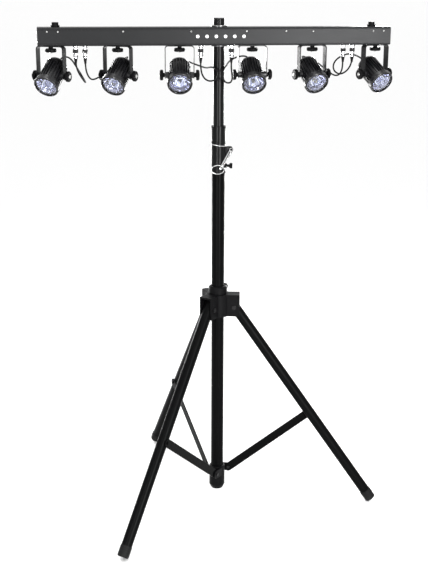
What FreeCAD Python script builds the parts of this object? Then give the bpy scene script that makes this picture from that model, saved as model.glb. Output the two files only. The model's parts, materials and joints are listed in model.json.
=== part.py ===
"""Six-head LED spot bar on a folding tripod stand.

Millimetres. +Z is up, the floor is Z = 0 and the column stands on the origin. The light bar lies along X
and its heads look towards -Y.
"""

import FreeCAD, Part

import math
import os

import Sketcher

# Driving dimensions: millimetres, and degrees where the name ends in _angle.
DIMENSIONS = {
    # column
    "tube_wall": 1.5,
    "column_radius": 19.05,
    "column_bottom": 40.0,
    "column_top": 1046.0,
    "mast_radius": 15.875,
    "mast_bottom": 400.0,
    "mast_top": 1472.5,
    "slide_clearance": 0.06,
    "pin_clearance": 0.05,
    "face_gap": 0.3,
    "bush_length": 40.0,
    "plug_depth": 12.0,
    "plug_edge": 1.2,
    "stud_gap": 0.15,
    # collar that clamps the mast
    "collar_radius": 20.6,
    "collar_bottom": 1035.0,
    "collar_top": 1172.0,
    "collar_flange_radius": 22.4,
    "collar_band_height": 5.0,
    "collar_low_band": 1122.0,
    "collar_high_band": 1159.0,
    "collar_ring": 0.9,
    "knob_boss_radius": 7.0,
    "knob_boss_reach": 5.0,
    "lug_reach": 43.0,
    "lug_high": 1112.0,
    "lug_thickness": 5.0,
    "lug_slope_start": 1064.0,
    "lug_nose": 1100.0,
    "lug_corner": 8.0,
    "mast_knob_height": 1056.0,
    "mast_knob_angle": -14.0,
    "mast_knob_radius": 8.0,
    "mast_knob_grip": 10.0,
    "mast_knob_start": 16.0,
    "safety_pin_length": 66.0,
    "safety_pin_wire": 1.5,
    "pin_eye_radius": 5.0,
    "pin_spread": 2.6,
    "pin_rivet_radius": 2.0,
    "pin_stand_off": 3.3,
    "pin_inset": 7.0,
    "pin_drop": 10.0,
    "pin_rivet_head": 3.4,
    "pin_rivet_depth": 6.5,
    # leg hub
    "hub_low": 602.0,
    "hub_high": 669.0,
    "hub_ring_top": 691.0,
    "hub_ring_radius": 28.0,
    "hub_core_radius": 36.0,
    "hub_arm_reach": 66.0,
    "hub_arm_width": 42.0,
    "hub_slot_width": 33.2,
    "hub_slot_start": 23.6,
    "hub_knob_height": 681.5,
    "hub_knob_angle": 48.8,
    "hub_knob_radius": 10.0,
    "hub_knob_grip": 12.0,
    "hub_knob_start": 13.5,
    "hub_edge": 2.0,
    "hub_web": 5.0,
    # legs
    "first_leg_angle": -11.2,
    "leg_angle": 34.9,
    "leg_length": 758.5,
    "leg_above_pivot": 20.0,
    "leg_pivot_reach": 50.0,
    "leg_pin_radius": 4.0,
    "leg_pin_head": 2.5,
    "leg_pin_head_height": 3.0,
    "foot_radius": 17.0,
    "foot_corner": 5.0,
    "foot_length": 34.0,
    "foot_floor": 2.5,
    # braces
    "brace_on_leg": 416.0,
    "brace_pivot_reach": 34.0,
    "brace_pivot_height": 92.0,
    "brace_width": 25.5,
    "brace_thickness": 3.0,
    "brace_offset": 16.4,
    "brace_pin_radius": 3.0,
    "brace_stud_radius": 5.0,
    "brace_stud_height": 2.6,
    # lower hub
    "lower_hub_bottom": 33.0,
    "lower_hub_top": 106.0,
    "lower_hub_radius": 24.0,
    "ear_thickness": 4.0,
    "ear_radius": 13.0,
    "ear_gap": 0.4,
    "lower_hub_taper": 12.0,
    "lower_hub_nose": 6.0,
    "rivet_head": 2.0,
    "rivet_head_height": 2.2,
    "rivet_tail": 1.0,
    "rivet_tail_height": 1.5,
    # light bar
    "bar_length": 1000.0,
    "bar_offset": -8.0,
    "bar_depth": 60.0,
    "bar_height": 50.8,
    "bar_bottom": 1400.0,
    "bar_wall": 2.5,
    "bar_edge": 6.0,
    "end_cap": 3.0,
    "sleeve_radius": 18.9,
    "sleeve_flange_radius": 24.0,
    "sleeve_flange": 3.0,
    "nut_radius": 8.0,
    "nut_height": 10.0,
    "clamp_knob_radius": 16.0,
    "clamp_knob_grip": 16.0,
    "clamp_knob_gap": 3.0,
    "socket_near": 44.0,
    "socket_middle": 369.5,
    "socket_far": 396.0,
    "socket_radius": 6.5,
    "socket_length": 34.0,
    "socket_collar_radius": 8.0,
    "socket_collar_height": 4.0,
    "socket_stem": 10.0,
    "socket_step": 0.6,
    "screw_radius": 2.3,
    "screw_height": 1.2,
    "screw_drop": 11.5,
    "hanger_at": 450.0,
    "hanger_radius": 9.5,
    "hanger_flange": 12.5,
    "hanger_height": 13.0,
    "hanger_bore": 4.2,
    "board_start": 112.0,
    "board_length": 180.0,
    "board_width": 44.0,
    "board_thickness": 1.6,
    "board_height": 18.0,
    # heads
    "head_near": 104.3,
    "head_middle": 278.3,
    "head_far": 464.0,
    "tilt_drop": 83.0,
    "yoke_half_width": 42.0,
    "yoke_thickness": 2.5,
    "yoke_width": 20.0,
    "yoke_bend": 9.0,
    "tilt_pin_radius": 3.0,
    "pan_pin_radius": 4.0,
    "pan_knob_radius": 16.0,
    "pan_knob_height": 14.5,
    "pan_stud_reach": 9.0,
    "bar_gap": 0.6,
    "tilt_knob_radius": 15.0,
    "tilt_knob_height": 14.0,
    "knob_neck": 4.0,
    "knob_neck_radius": 6.5,
    "barrel_core": 27.0,
    "barrel_bore": 23.5,
    "barrel_fin": 32.0,
    "fin_thickness": 2.4,
    "fin_count": 24,
    "barrel_front": 28.0,
    "barrel_back": 38.0,
    "bezel_radius": 35.5,
    "bezel_front": 46.0,
    "bezel_lip": 1.0,
    "bezel_edge": 1.5,
    "bezel_slope": 2.5,
    "lens_seat": 2.0,
    "lens_crown": 1.2,
    "lens_radius": 32.5,
    "lens_thickness": 3.5,
    "cap_back": 50.0,
    "cap_rim": 5.0,
    "cap_face": 9.0,
    "gland_nut": 2.0,
    "gland_nut_height": 3.0,
    "boss_radius": 9.0,
    "boss_depth": 12.0,
    "led_back": 6.0,
    "led_face": 4.0,
    "led_radius": 6.0,
    "gland_radius": 5.0,
    "gland_back": 62.0,
    "cord_radius": 2.3,
}

# How each head is set: (bar position, turn to the right seen from the front, tilt down), in degrees.
HEADS = (
    (-1, "head_far", -28.0, 38.0),
    (-1, "head_middle", -29.0, 36.0),
    (-1, "head_near", -5.0, 30.0),
    (1, "head_near", 1.0, 34.0),
    (1, "head_middle", 13.0, 33.0),
    (1, "head_far", 22.0, 32.0),
)

# The points each cord's route turns at, from its connector to its head's gland.
CORD_ROUTES = (
    ((-404, 0, 1366), (-404, 0, 1348), (-399, 2, 1329), (-389, 9, 1311), (-380, 23, 1298), (-377, 42, 1294),
     (-382, 60, 1303), (-392, 70, 1320), (-403, 76, 1338), (-414, 77, 1356), (-428, 69, 1366)),
    ((-377.5, 0, 1366), (-377.5, 0, 1349), (-376, 1, 1331), (-370, 8, 1314), (-361, 23, 1304),
     (-349, 42, 1304), (-333, 62, 1311), (-314, 79, 1322), (-295, 90, 1334), (-278, 93, 1348),
     (-262, 86, 1358), (-255, 72, 1364)),
    ((-52, 0, 1366), (-52, 0, 1352), (-52, -2, 1337), (-50, -9, 1321), (-44, -21, 1308), (-31, -33, 1301),
     (-15, -40, 1306), (-5, -37, 1321), (-10, -28, 1335), (-22, -13, 1340), (-28, 7, 1337), (-30, 29, 1334),
     (-37, 51, 1334), (-47, 72, 1337), (-63, 86, 1342), (-82, 90, 1350), (-98, 81, 1357)),
    ((36, 0, 1366), (36, 0, 1352), (35.5, -3, 1337), (36, -12, 1321), (36, -23, 1306.5), (28.5, -34, 1296),
     (12.5, -41, 1298.5), (4.5, -42, 1314), (7, -35, 1329), (14, -21, 1340), (24, 5, 1343), (28, 26, 1345),
     (34, 47, 1347), (41, 68, 1350), (54, 84, 1356), (72, 88, 1362), (88, 79, 1364)),
    ((361.5, 0, 1366), (361.5, 0, 1346), (361, 4, 1327), (356, 15, 1312), (346, 31, 1309), (333, 49, 1318),
     (320, 66, 1330), (306, 82, 1343), (290, 92, 1353), (271, 92, 1359), (259, 80, 1362)),
    ((388, 0, 1366), (388, 0, 1352), (384, 4, 1336), (374, 12, 1321), (359, 21, 1313), (345, 32, 1321),
     (343, 43, 1337), (354, 55, 1352), (373, 66, 1363), (394, 74, 1369), (415, 74, 1366)),
)

# How far a cord runs straight behind its gland, and the share of a run that each of its arcs takes.
CORD_STRAIGHT, ARC_SHARE = 14.0, 0.45

# Places of the small screws along the bar's front, from the bar's middle.
SCREW_PLACES = (-473.0, -443.0, -264.0, -74.0, 83.0, 196.0, 274.0, 449.0, 479.0)

# The parts on the driver board: (along, across, length, width, height) of each block.
BOARD_BLOCKS = ((12.0, 8.0, 34.0, 26.0, 20.0), (64.0, 6.0, 22.0, 30.0, 14.0), (156.0, 16.0, 12.0, 12.0, 4.0))
# The board's round capacitors: (along, across) of each, all of one size.
BOARD_CAPACITORS = ((112.0, 16.0), (134.0, 16.0))
CAPACITOR_RADIUS, CAPACITOR_HEIGHT = 8.0, 20.0

# The driver block in a barrel: length, width and height, and how far behind the tilt axis it starts.
DRIVER_BLOCK = (36.0, 24.0, 8.0)
DRIVER_START = 26.0

# The safety pin leans from its rivet down and across to the front of the collar.
PIN_LEAN = (-33.0, -22.0, -51.0)
LEG_TURN = 120.0
X, Y, Z = FreeCAD.Vector(1, 0, 0), FreeCAD.Vector(0, 1, 0), FreeCAD.Vector(0, 0, 1)


class Size(float):
    """A number that remembers the spreadsheet formula it was worked out with."""

    def __new__(cls, value, formula=None):
        size = float.__new__(cls, value)
        size.formula = formula or repr(float(value))
        return size

    def joined(self, other, sign, value, swapped=False):
        pair = (Size.of(other), self) if swapped else (self, Size.of(other))
        return Size(value, f"({pair[0].formula} {sign} {pair[1].formula})")

    @staticmethod
    def of(value):
        return value if isinstance(value, Size) else Size(value)

    def __add__(self, other):
        return self.joined(other, "+", float(self) + float(other))

    def __radd__(self, other):
        return self.joined(other, "+", float(self) + float(other), True)

    def __sub__(self, other):
        return self.joined(other, "-", float(self) - float(other))

    def __rsub__(self, other):
        return self.joined(other, "-", float(other) - float(self), True)

    def __mul__(self, other):
        return self.joined(other, "*", float(self) * float(other))

    def __rmul__(self, other):
        return self.joined(other, "*", float(self) * float(other), True)

    def __truediv__(self, other):
        return self.joined(other, "/", float(self) / float(other))

    def __neg__(self):
        return Size(-float(self), f"(0 - {self.formula})")


def sin(degrees):
    degrees = Size.of(degrees)
    return Size(math.sin(math.radians(degrees)), f"sin({degrees.formula} * 1 deg)")


def cos(degrees):
    degrees = Size.of(degrees)
    return Size(math.cos(math.radians(degrees)), f"cos({degrees.formula} * 1 deg)")


def dimension_sheet(doc):
    """Fill the spreadsheet and return its cells as sizes, by name."""
    sheet = doc.addObject("Spreadsheet::Sheet", "Dimensions")
    for row, (name, value) in enumerate(DIMENSIONS.items(), start=1):
        sheet.set(f"A{row}", name)
        sheet.set(f"B{row}", repr(value))
        sheet.setAlias(f"B{row}", name)
    return {name: Size(value, f"Dimensions.{name}") for name, value in DIMENSIONS.items()}


doc = FreeCAD.newDocument("SpotBar")
D = dimension_sheet(doc)
doc.recompute()
nodes = []


# ---------------------------------------------------------------- building blocks


def bind(thing, name, size):
    """Set a length and tie it to the spreadsheet."""
    thing.setExpression(name, Size.of(size).formula)


def place(thing, at=(0, 0, 0), turn=FreeCAD.Rotation()):
    """Put an object at a point, with the point's coordinates tied to the spreadsheet."""
    thing.Placement = FreeCAD.Placement(FreeCAD.Vector(*[float(value) for value in at]), turn)
    for letter, value in zip("xyz", at):
        if isinstance(value, Size):
            bind(thing, f"Placement.Base.{letter}", value)
    return thing


def along(direction):
    """The rotation that turns +Z onto a direction."""
    return FreeCAD.Rotation(Z, direction)


def about(axis, degrees):
    return FreeCAD.Rotation(axis, float(degrees))


def cylinder(radius, height, at=(0, 0, 0), direction=Z):
    """A cylinder whose base centre is at a point."""
    solid = doc.addObject("Part::Cylinder", "Cylinder")
    bind(solid, "Radius", radius)
    bind(solid, "Height", height)
    return place(solid, at, along(direction))


def cone(low_radius, high_radius, height, at=(0, 0, 0), direction=Z):
    solid = doc.addObject("Part::Cone", "Cone")
    bind(solid, "Radius1", low_radius)
    bind(solid, "Radius2", high_radius)
    bind(solid, "Height", height)
    return place(solid, at, along(direction))


def block(length, width, height, at, turn=FreeCAD.Rotation()):
    """A box whose lowest corner is at a point."""
    solid = doc.addObject("Part::Box", "Block")
    bind(solid, "Length", length)
    bind(solid, "Width", width)
    bind(solid, "Height", height)
    return place(solid, at, turn)


def fuse(*solids):
    if len(solids) == 1:
        return solids[0]
    joined = doc.addObject("Part::MultiFuse", "Fused")
    joined.Shapes = list(solids)
    joined.Refine = True
    return joined


def cut(base, *tools):
    left = doc.addObject("Part::Cut", "CutOut")
    left.Base = base
    left.Tool = fuse(*tools)
    return left


def group(*solids):
    """Several separate solids that make one sub-part."""
    several = doc.addObject("Part::Compound", "Group")
    several.Links = list(solids)
    return several


def tube(outer, inner, height, at=(0, 0, 0), direction=Z):
    """A cylinder with a hole along its axis."""
    return cut(cylinder(outer, height, at, direction), cylinder(inner, height, at, direction))


def rounded(base, radius, chosen):
    """Round the edges of an object that a test on each edge picks."""
    doc.recompute()
    fillet = doc.addObject("Part::Fillet", "Rounded")
    fillet.Base = base
    picked = [n for n, edge in enumerate(base.Shape.Edges, start=1) if chosen(edge)]
    fillet.Edges = [(n, float(radius), float(radius)) for n in picked]
    return fillet


def spoke(radius, height, centre_height, start, degrees):
    """A cylinder that points away from the column at a height and a bearing."""
    direction = FreeCAD.Vector(math.cos(math.radians(degrees)), math.sin(math.radians(degrees)), 0)
    at = (start * cos(degrees), start * sin(degrees), centre_height)
    return cylinder(radius, height, at, direction)


def plane_of(body, role):
    return next(plane for plane in body.Origin.OriginFeatures if plane.Role == role)


def sketch_on(body, role):
    sketch = body.newObject("Sketcher::SketchObject", "Outline")
    sketch.AttachmentSupport = (plane_of(body, role), [""])
    sketch.MapMode = "FlatFace"
    return sketch


def draw_outline(sketch, corners):
    """A closed outline of straight lines with every corner tied to the spreadsheet."""
    count = len(corners)
    first = sketch.GeometryCount
    for n, (across, up) in enumerate(corners):
        next_across, next_up = corners[(n + 1) % count]
        start = FreeCAD.Vector(float(across), float(up), 0)
        end = FreeCAD.Vector(float(next_across), float(next_up), 0)
        sketch.addGeometry(Part.LineSegment(start, end), False)
    for n in range(count):
        joint = Sketcher.Constraint("Coincident", first + n, 2, first + (n + 1) % count, 1)
        sketch.addConstraint(joint)
    for n, corner in enumerate(corners):
        for kind, value in zip(("DistanceX", "DistanceY"), corner):
            at = sketch.addConstraint(Sketcher.Constraint(kind, -1, 1, first + n, 1, float(value)))
            sketch.setExpression(f"Constraints[{at}]", Size.of(value).formula)


def turned(corners):
    """A body of revolution about its own Z axis. Corners are (radius, height)."""
    body = doc.addObject("PartDesign::Body", "Turned")
    sketch = sketch_on(body, "XZ_Plane")
    draw_outline(sketch, corners)
    spin = body.newObject("PartDesign::Revolution", "Revolution")
    spin.Profile = sketch
    spin.ReferenceAxis = (sketch, ["V_Axis"])
    spin.Angle = 360
    return body


def ring_points(radius, count, start=0.0):
    """Points evenly round a circle."""
    turns = [start + 360.0 * n / count for n in range(count)]
    return [(radius * cos(turn), radius * sin(turn)) for turn in turns]


def fluted(radius, height, base_height, flutes, flute_radius):
    """A round grip about Z with bevelled edges and hollows round its rim."""
    edge = height * 0.22
    grip = turned(
        [
            (0, base_height),
            (radius - edge, base_height),
            (radius, base_height + edge),
            (radius, base_height + height - edge),
            (radius - edge, base_height + height),
            (0, base_height + height),
        ]
    )
    rim = [
        cylinder(flute_radius, height, (x, y, base_height))
        for x, y in ring_points(radius + flute_radius * 0.55, flutes)
    ]
    return cut(grip, *rim)


def node(thing, name, at=(0, 0, 0), turn=FreeCAD.Rotation()):
    """Name a finished sub-part and put it in its place."""
    thing.Label = name
    thing.Placement = FreeCAD.Placement(FreeCAD.Vector(*[float(value) for value in at]), turn)
    nodes.append(thing)


# ---------------------------------------------------------------- column and mast


def column():
    long = D["column_top"] - D["column_bottom"]
    bore = D["column_radius"] - D["tube_wall"]
    node(tube(D["column_radius"], bore, long, (0, 0, D["column_bottom"])), "lower_tube")

    mast_long = D["mast_top"] - D["mast_bottom"]
    mast_bore = D["mast_radius"] - D["tube_wall"]
    node(tube(D["mast_radius"], mast_bore, mast_long, (0, 0, D["mast_bottom"])), "upper_tube")

    running = bore - D["slide_clearance"]
    bush = tube(running, D["mast_radius"], D["bush_length"], (0, 0, D["mast_bottom"]))
    node(bush, "mast_bush")

    depth, edge = D["plug_depth"], D["plug_edge"]
    plug = turned(
        [
            (0, -depth),
            (mast_bore, -depth),
            (mast_bore, 0),
            (D["mast_radius"], 0),
            (D["mast_radius"], edge),
            (D["mast_radius"] - edge, 2 * edge),
            (0, 2 * edge),
        ]
    )
    node(plug, "mast_cap", (0, 0, D["mast_top"]))


def mast_collar():
    """The casting on top of the column, with its clamp lug and the knob's boss."""
    low, high = D["collar_bottom"], D["collar_top"]
    band, radius = D["collar_band_height"], D["collar_radius"]
    ring = radius + D["collar_ring"]
    boss, knob_at = D["knob_boss_radius"], (D["mast_knob_height"], D["mast_knob_angle"])
    body = fuse(
        cylinder(radius, high - low, (0, 0, low)),
        cylinder(D["collar_flange_radius"], band, (0, 0, high - band)),
        cylinder(ring, band, (0, 0, D["collar_high_band"])),
        cylinder(ring, band, (0, 0, D["collar_low_band"])),
        cylinder(ring, band, (0, 0, low)),
        collar_lug(),
        pin_rivet(),
        spoke(boss, boss + D["knob_boss_reach"], knob_at[0], radius - boss, knob_at[1]),
    )
    mast_bore = D["mast_radius"] + D["slide_clearance"]
    knob_bore = D["pan_pin_radius"] + D["pin_clearance"]
    collar = cut(
        body,
        cylinder(mast_bore, high - low, (0, 0, low)),
        cylinder(D["column_radius"] + D["pin_clearance"], D["column_top"] - low, (0, 0, low)),
        spoke(knob_bore, 2 * radius, knob_at[0], D["knob_boss_reach"], knob_at[1]),
    )
    node(collar, "mast_collar")


def collar_lug():
    """A flat ear, wide at the top, that carries the safety pin."""
    body = doc.addObject("PartDesign::Body", "Lug")
    sketch = sketch_on(body, "XZ_Plane")
    start = D["mast_radius"] + D["collar_ring"]
    high, reach, corner = D["lug_high"], D["lug_reach"], D["lug_corner"]
    draw_outline(
        sketch,
        [
            (start, D["lug_slope_start"]),
            (D["collar_radius"], D["lug_slope_start"]),
            (reach, D["lug_nose"]),
            (reach, high - corner),
            (reach - corner / 2, high - corner / 6),
            (reach - corner, high),
            (start, high),
        ],
    )
    pad = body.newObject("PartDesign::Pad", "Pad")
    pad.Profile = sketch
    pad.SideType = "Symmetric"
    bind(pad, "Length", D["lug_thickness"])
    return body


def pin_seat():
    """Where the safety pin's eye sits beside the lug, and how the pin is turned there."""
    side = -(D["lug_thickness"] / 2) - D["pin_stand_off"]
    at = (D["lug_reach"] - D["pin_inset"], side, D["lug_high"] - D["pin_drop"])
    return at, FreeCAD.Rotation(FreeCAD.Vector(*PIN_LEAN), FreeCAD.Vector(), -Y, "XZY")


def pin_rivet():
    """The rivet through the pin's eye, with its head beyond the eye."""
    at, turn = pin_seat()
    outward = turn.multVec(Z)
    wire, depth = D["safety_pin_wire"], D["pin_rivet_depth"]
    seat = FreeCAD.Vector(*[float(value) for value in at])
    head = seat + outward * float(wire + D["face_gap"])
    root = seat - outward * float(depth)
    return fuse(
        cylinder(D["pin_rivet_radius"], depth + wire + D["face_gap"], tuple(root), outward),
        cylinder(D["pin_rivet_head"], wire, tuple(head), outward),
    )


def safety_pin():
    """A wire hairpin that hangs by its eye from a rivet on the collar's lug, across the collar's front."""
    wire, long = D["safety_pin_wire"], D["safety_pin_length"]
    eye_radius, spread = D["pin_eye_radius"], D["pin_spread"]
    eye = cut(
        cylinder(eye_radius, 2 * wire, (0, 0, -wire)),
        cylinder(D["pin_rivet_radius"] + D["pin_clearance"], 2 * wire, (0, 0, -wire)),
    )
    prongs = [cylinder(wire, long, (0, side * spread, 0), X) for side in (-1, 1)]
    tip = cylinder(wire, 2 * spread, (long, -spread, 0), Y)
    middle = cylinder(eye_radius - 0.5, 4 * wire, (0, 0, -2 * wire))
    pin = fuse(eye, cut(fuse(*prongs), middle), tip)
    at, turn = pin_seat()
    node(pin, "safety_pin", at, turn)


def clamp_knob(name, tube_radius, height, bearing, grip_radius, grip_height, grip_start):
    """A knob on a bearing of a tube: a stud that bears on the tube, and a fluted grip."""
    stud = cylinder(D["pan_pin_radius"], grip_start + grip_height / 4, (0, 0, 0))
    grip = fluted(grip_radius, grip_height, grip_start, 6, grip_radius / 4)
    out = tube_radius + D["stud_gap"]
    at = (out * cos(bearing), out * sin(bearing), height)
    node(fuse(stud, grip), name, at, about(Z, bearing) * along(X))


def column_knobs():
    """The two clamp knobs of the stand."""
    grip = D["mast_knob_radius"], D["mast_knob_grip"], D["mast_knob_start"]
    clamp_knob("mast_knob", D["mast_radius"], D["mast_knob_height"], D["mast_knob_angle"], *grip)
    grip = D["hub_knob_radius"], D["hub_knob_grip"], D["hub_knob_start"]
    clamp_knob("hub_knob", D["column_radius"], D["hub_knob_height"], D["hub_knob_angle"], *grip)


# ---------------------------------------------------------------- tripod


def leg_bearings():
    return [float(D["first_leg_angle"]) - LEG_TURN * n for n in range(3)]


def leg_pivot_height():
    """The height that puts the corner of every foot on the floor."""
    lean, corner = D["leg_angle"], D["foot_corner"]
    return (D["leg_length"] - corner) * cos(lean) + (D["foot_radius"] - corner) * sin(lean) + corner


def swung(thing, bearing):
    """A joined object, drawn towards +X, turned about the column to a bearing."""
    thing.Placement = FreeCAD.Placement(FreeCAD.Vector(), about(Z, bearing))
    return thing


def leg_hub():
    low, high, core = D["hub_low"], D["hub_high"], D["hub_core_radius"]
    width, reach, slot = D["hub_arm_width"], D["hub_arm_reach"], D["hub_slot_width"]
    ring, ring_top, edge = D["hub_ring_radius"], D["hub_ring_top"], D["hub_edge"]
    solids = [
        cylinder(core, high - low, (0, 0, low)),
        cylinder(ring, ring_top - high - edge, (0, 0, high)),
        cone(ring, ring - edge, edge, (0, 0, ring_top - edge)),
    ]
    slots = []
    pins = []
    pin_height = leg_pivot_height()
    for bearing in leg_bearings():
        arm = block(reach, width, high - low, (0, -(width / 2), low))
        solids.append(swung(group(arm), bearing))
        gap = block(reach, slot, high - low, (D["hub_slot_start"], -(slot / 2), low - D["hub_web"]))
        slots.append(swung(group(gap), bearing))
        pins.append(leg_pin(bearing, pin_height, D["leg_pin_radius"] + D["pin_clearance"]))
    stud = D["pan_pin_radius"] + D["pin_clearance"]
    bore = cylinder(D["column_radius"] + D["slide_clearance"], ring_top - low, (0, 0, low))
    knob_hole = spoke(stud, ring, D["hub_knob_height"], stud, D["hub_knob_angle"])
    node(cut(fuse(*solids), bore, knob_hole, *slots, *pins), "leg_hub")

    head = D["leg_pin_radius"] + D["leg_pin_head"]
    bolts = [
        fuse(
            leg_pin(bearing, pin_height, D["leg_pin_radius"]),
            leg_pin(bearing, pin_height, head, side=1),
            leg_pin(bearing, pin_height, head, side=-1),
        )
        for bearing in leg_bearings()
    ]
    node(group(*bolts), "leg_pivots")


def leg_pin(bearing, height, radius, side=0):
    """A cylinder across a leg's slot, or, with a side of 1 or -1, the bolt's head on that side."""
    half, head = D["hub_arm_width"] / 2, D["leg_pin_head_height"]
    start = {0: -half, 1: half, -1: -half - head}[side]
    long = head if side else half * 2
    at = (
        D["leg_pivot_reach"] * cos(bearing) - start * sin(bearing),
        D["leg_pivot_reach"] * sin(bearing) + start * cos(bearing),
        height,
    )
    return cylinder(radius, long, at, about(Z, bearing).multVec(Y))


def leg_frame(bearing, lean):
    """The turn of a piece drawn hanging down -Z so that it leans outwards on a bearing."""
    return about(Z, bearing) * about(Y, -float(lean))


def legs():
    """Each leg is drawn about its pivot, hanging down, then leaned out."""
    radius, lean = D["mast_radius"], D["leg_angle"]
    above, long = D["leg_above_pivot"], D["leg_length"]
    end = D["foot_floor"]
    pin = D["leg_pin_radius"] + D["pin_clearance"]
    for n, bearing in enumerate(leg_bearings(), start=1):
        start = (0, 0, -(long - end))
        pipe = cut(
            cylinder(radius, above + long - end, start),
            cylinder(radius - D["tube_wall"], above + long - end, start),
            cylinder(pin, radius * 2, (0, -radius, 0), Y),
        )
        reach = D["leg_pivot_reach"]
        at = (reach * cos(bearing), reach * sin(bearing), leg_pivot_height())
        node(pipe, f"leg_{n}", at, leg_frame(bearing, lean))

        wide, corner = D["foot_radius"], D["foot_corner"]
        cup = cut(
            rounded(
                cylinder(wide, D["foot_length"], (0, 0, -long)),
                corner,
                lambda edge: edge.CenterOfMass.z < -float(long) + 0.1,
            ),
            cylinder(radius, D["foot_length"], (0, 0, -(long - end))),
        )
        node(cup, f"foot_{n}", at, leg_frame(bearing, lean))


def brace_shape():
    """(length between the pins, angle from upright) of a brace, from where it meets the leg."""
    on_leg, lean = D["brace_on_leg"], D["leg_angle"]
    out = D["leg_pivot_reach"] + on_leg * sin(lean) - D["brace_pivot_reach"]
    up = leg_pivot_height() - on_leg * cos(lean) - D["brace_pivot_height"]
    return Size(math.hypot(out, up)), math.degrees(math.atan2(out, up))


def braces():
    """Flat straps beside the legs, each drawn standing up from its lower pin."""
    long, lean = brace_shape()
    half, thick = D["brace_width"] / 2, D["brace_thickness"]
    offset = D["brace_offset"]
    for n, bearing in enumerate(leg_bearings(), start=1):
        strap = cut(
            fuse(
                block(half * 2, thick, long, (-half, offset, 0)),
                cylinder(half, thick, (0, offset, 0), Y),
                cylinder(half, thick, (0, offset, long), Y),
                cylinder(D["brace_stud_radius"], D["brace_stud_height"], (0, offset + thick, long), Y),
            ),
            cylinder(D["brace_pin_radius"] + D["pin_clearance"], thick, (0, offset, 0), Y),
        )
        reach = D["brace_pivot_reach"]
        at = (reach * cos(bearing), reach * sin(bearing), D["brace_pivot_height"])
        node(strap, f"brace_{n}", at, about(Z, bearing) * about(Y, lean))


def lower_hub():
    """The casting at the foot of the column, with an ear and a rivet for each brace."""
    low, high, wide = D["lower_hub_bottom"], D["lower_hub_top"], D["lower_hub_radius"]
    taper, nose = D["lower_hub_taper"], D["lower_hub_nose"]
    ear_at = D["brace_offset"] + D["brace_thickness"] + D["ear_gap"]
    inner = D["brace_offset"] - D["rivet_tail_height"] - D["face_gap"]
    thick, ear_round, start = D["ear_thickness"], D["ear_radius"], wide / 3
    reach, height, pin = D["brace_pivot_reach"], D["brace_pivot_height"], D["brace_pin_radius"]
    body = [
        cone(wide - nose, wide, taper, (0, 0, low)),
        cylinder(wide, high - low - taper, (0, 0, low + taper)),
    ]
    holes, rivets = [], []
    for bearing in leg_bearings():
        ear = fuse(
            block(reach - start, thick, 2 * ear_round, (start, ear_at, height - ear_round)),
            cylinder(ear_round, thick, (reach, ear_at, height), Y),
        )
        body.append(swung(ear, bearing))
        holes.append(swung(group(cylinder(pin, thick, (reach, ear_at, height), Y)), bearing))
        rivet = fuse(
            cylinder(pin, ear_at + thick - inner, (reach, inner, height), Y),
            cylinder(pin + D["rivet_head"], D["rivet_head_height"], (reach, ear_at + thick, height), Y),
            cylinder(pin + D["rivet_tail"], D["rivet_tail_height"], (reach, inner, height), Y),
        )
        rivets.append(swung(rivet, bearing))
    pocket = cylinder(D["column_radius"], high, (0, 0, D["column_bottom"]))
    node(cut(fuse(*body), pocket, *holes), "lower_hub")
    node(group(*rivets), "brace_pivots")


# ---------------------------------------------------------------- light bar


def head_places():
    """The position along X of each head."""
    return [D["bar_offset"] + side * D[place_name] for side, place_name, _, _ in HEADS]


def socket_places():
    near, middle, far = D["socket_near"], D["socket_middle"], D["socket_far"]
    return [D["bar_offset"] + at for at in (-far, -middle, -near, near, middle, far)]


def light_bar():
    """The bar's box section with its end caps, the sleeve for the mast and what is fixed to it."""
    wall, cap, edge = D["bar_wall"], D["end_cap"], D["bar_edge"]
    depth, height, bottom = D["bar_depth"], D["bar_height"], D["bar_bottom"]
    start = D["bar_offset"] - D["bar_length"] / 2 + cap
    long = D["bar_length"] - 2 * cap
    outer = rounded(
        block(long, depth, height, (start, -(depth / 2), bottom)), edge, lambda side: runs_along(side, long)
    )
    inner = block(long, depth - 2 * wall, height - 2 * wall, (start, -(depth / 2) + wall, bottom + wall))
    nuts = [cylinder(D["nut_radius"], D["nut_height"], (x, 0, bottom + wall)) for x in head_places()]
    stud_hole = D["pan_pin_radius"] + D["pin_clearance"]
    deep = D["nut_height"] + wall
    holes = [cylinder(stud_hole, deep, (x, 0, bottom)) for x in head_places()]
    stem = D["socket_radius"] - D["socket_step"]
    holes += [cylinder(stem, 2 * wall, (x, 0, bottom)) for x in socket_places()]
    holes.append(cylinder(D["sleeve_radius"], height, (0, 0, bottom)))
    holes.append(cylinder(stud_hole, depth / 2, (0, D["sleeve_radius"], bottom + height / 2), Y))
    node(cut(fuse(cut(outer, inner), *nuts), *holes), "bar_housing")

    def end_plate(x):
        plate = block(cap, depth, height, (x, -(depth / 2), bottom))
        return rounded(plate, edge, lambda side: runs_along(side, cap))

    node(group(end_plate(start - cap), end_plate(start + long)), "bar_end_caps")
    mast_sleeve(bottom, height, stud_hole)
    bar_clamp(bottom + height / 2, depth)
    bar_fittings(bottom, height, depth)
    control_board(bottom)


def runs_along(edge, length):
    """Whether an edge runs along the bar for a whole length."""
    return edge.BoundBox.XLength > float(length) - 0.5


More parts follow.
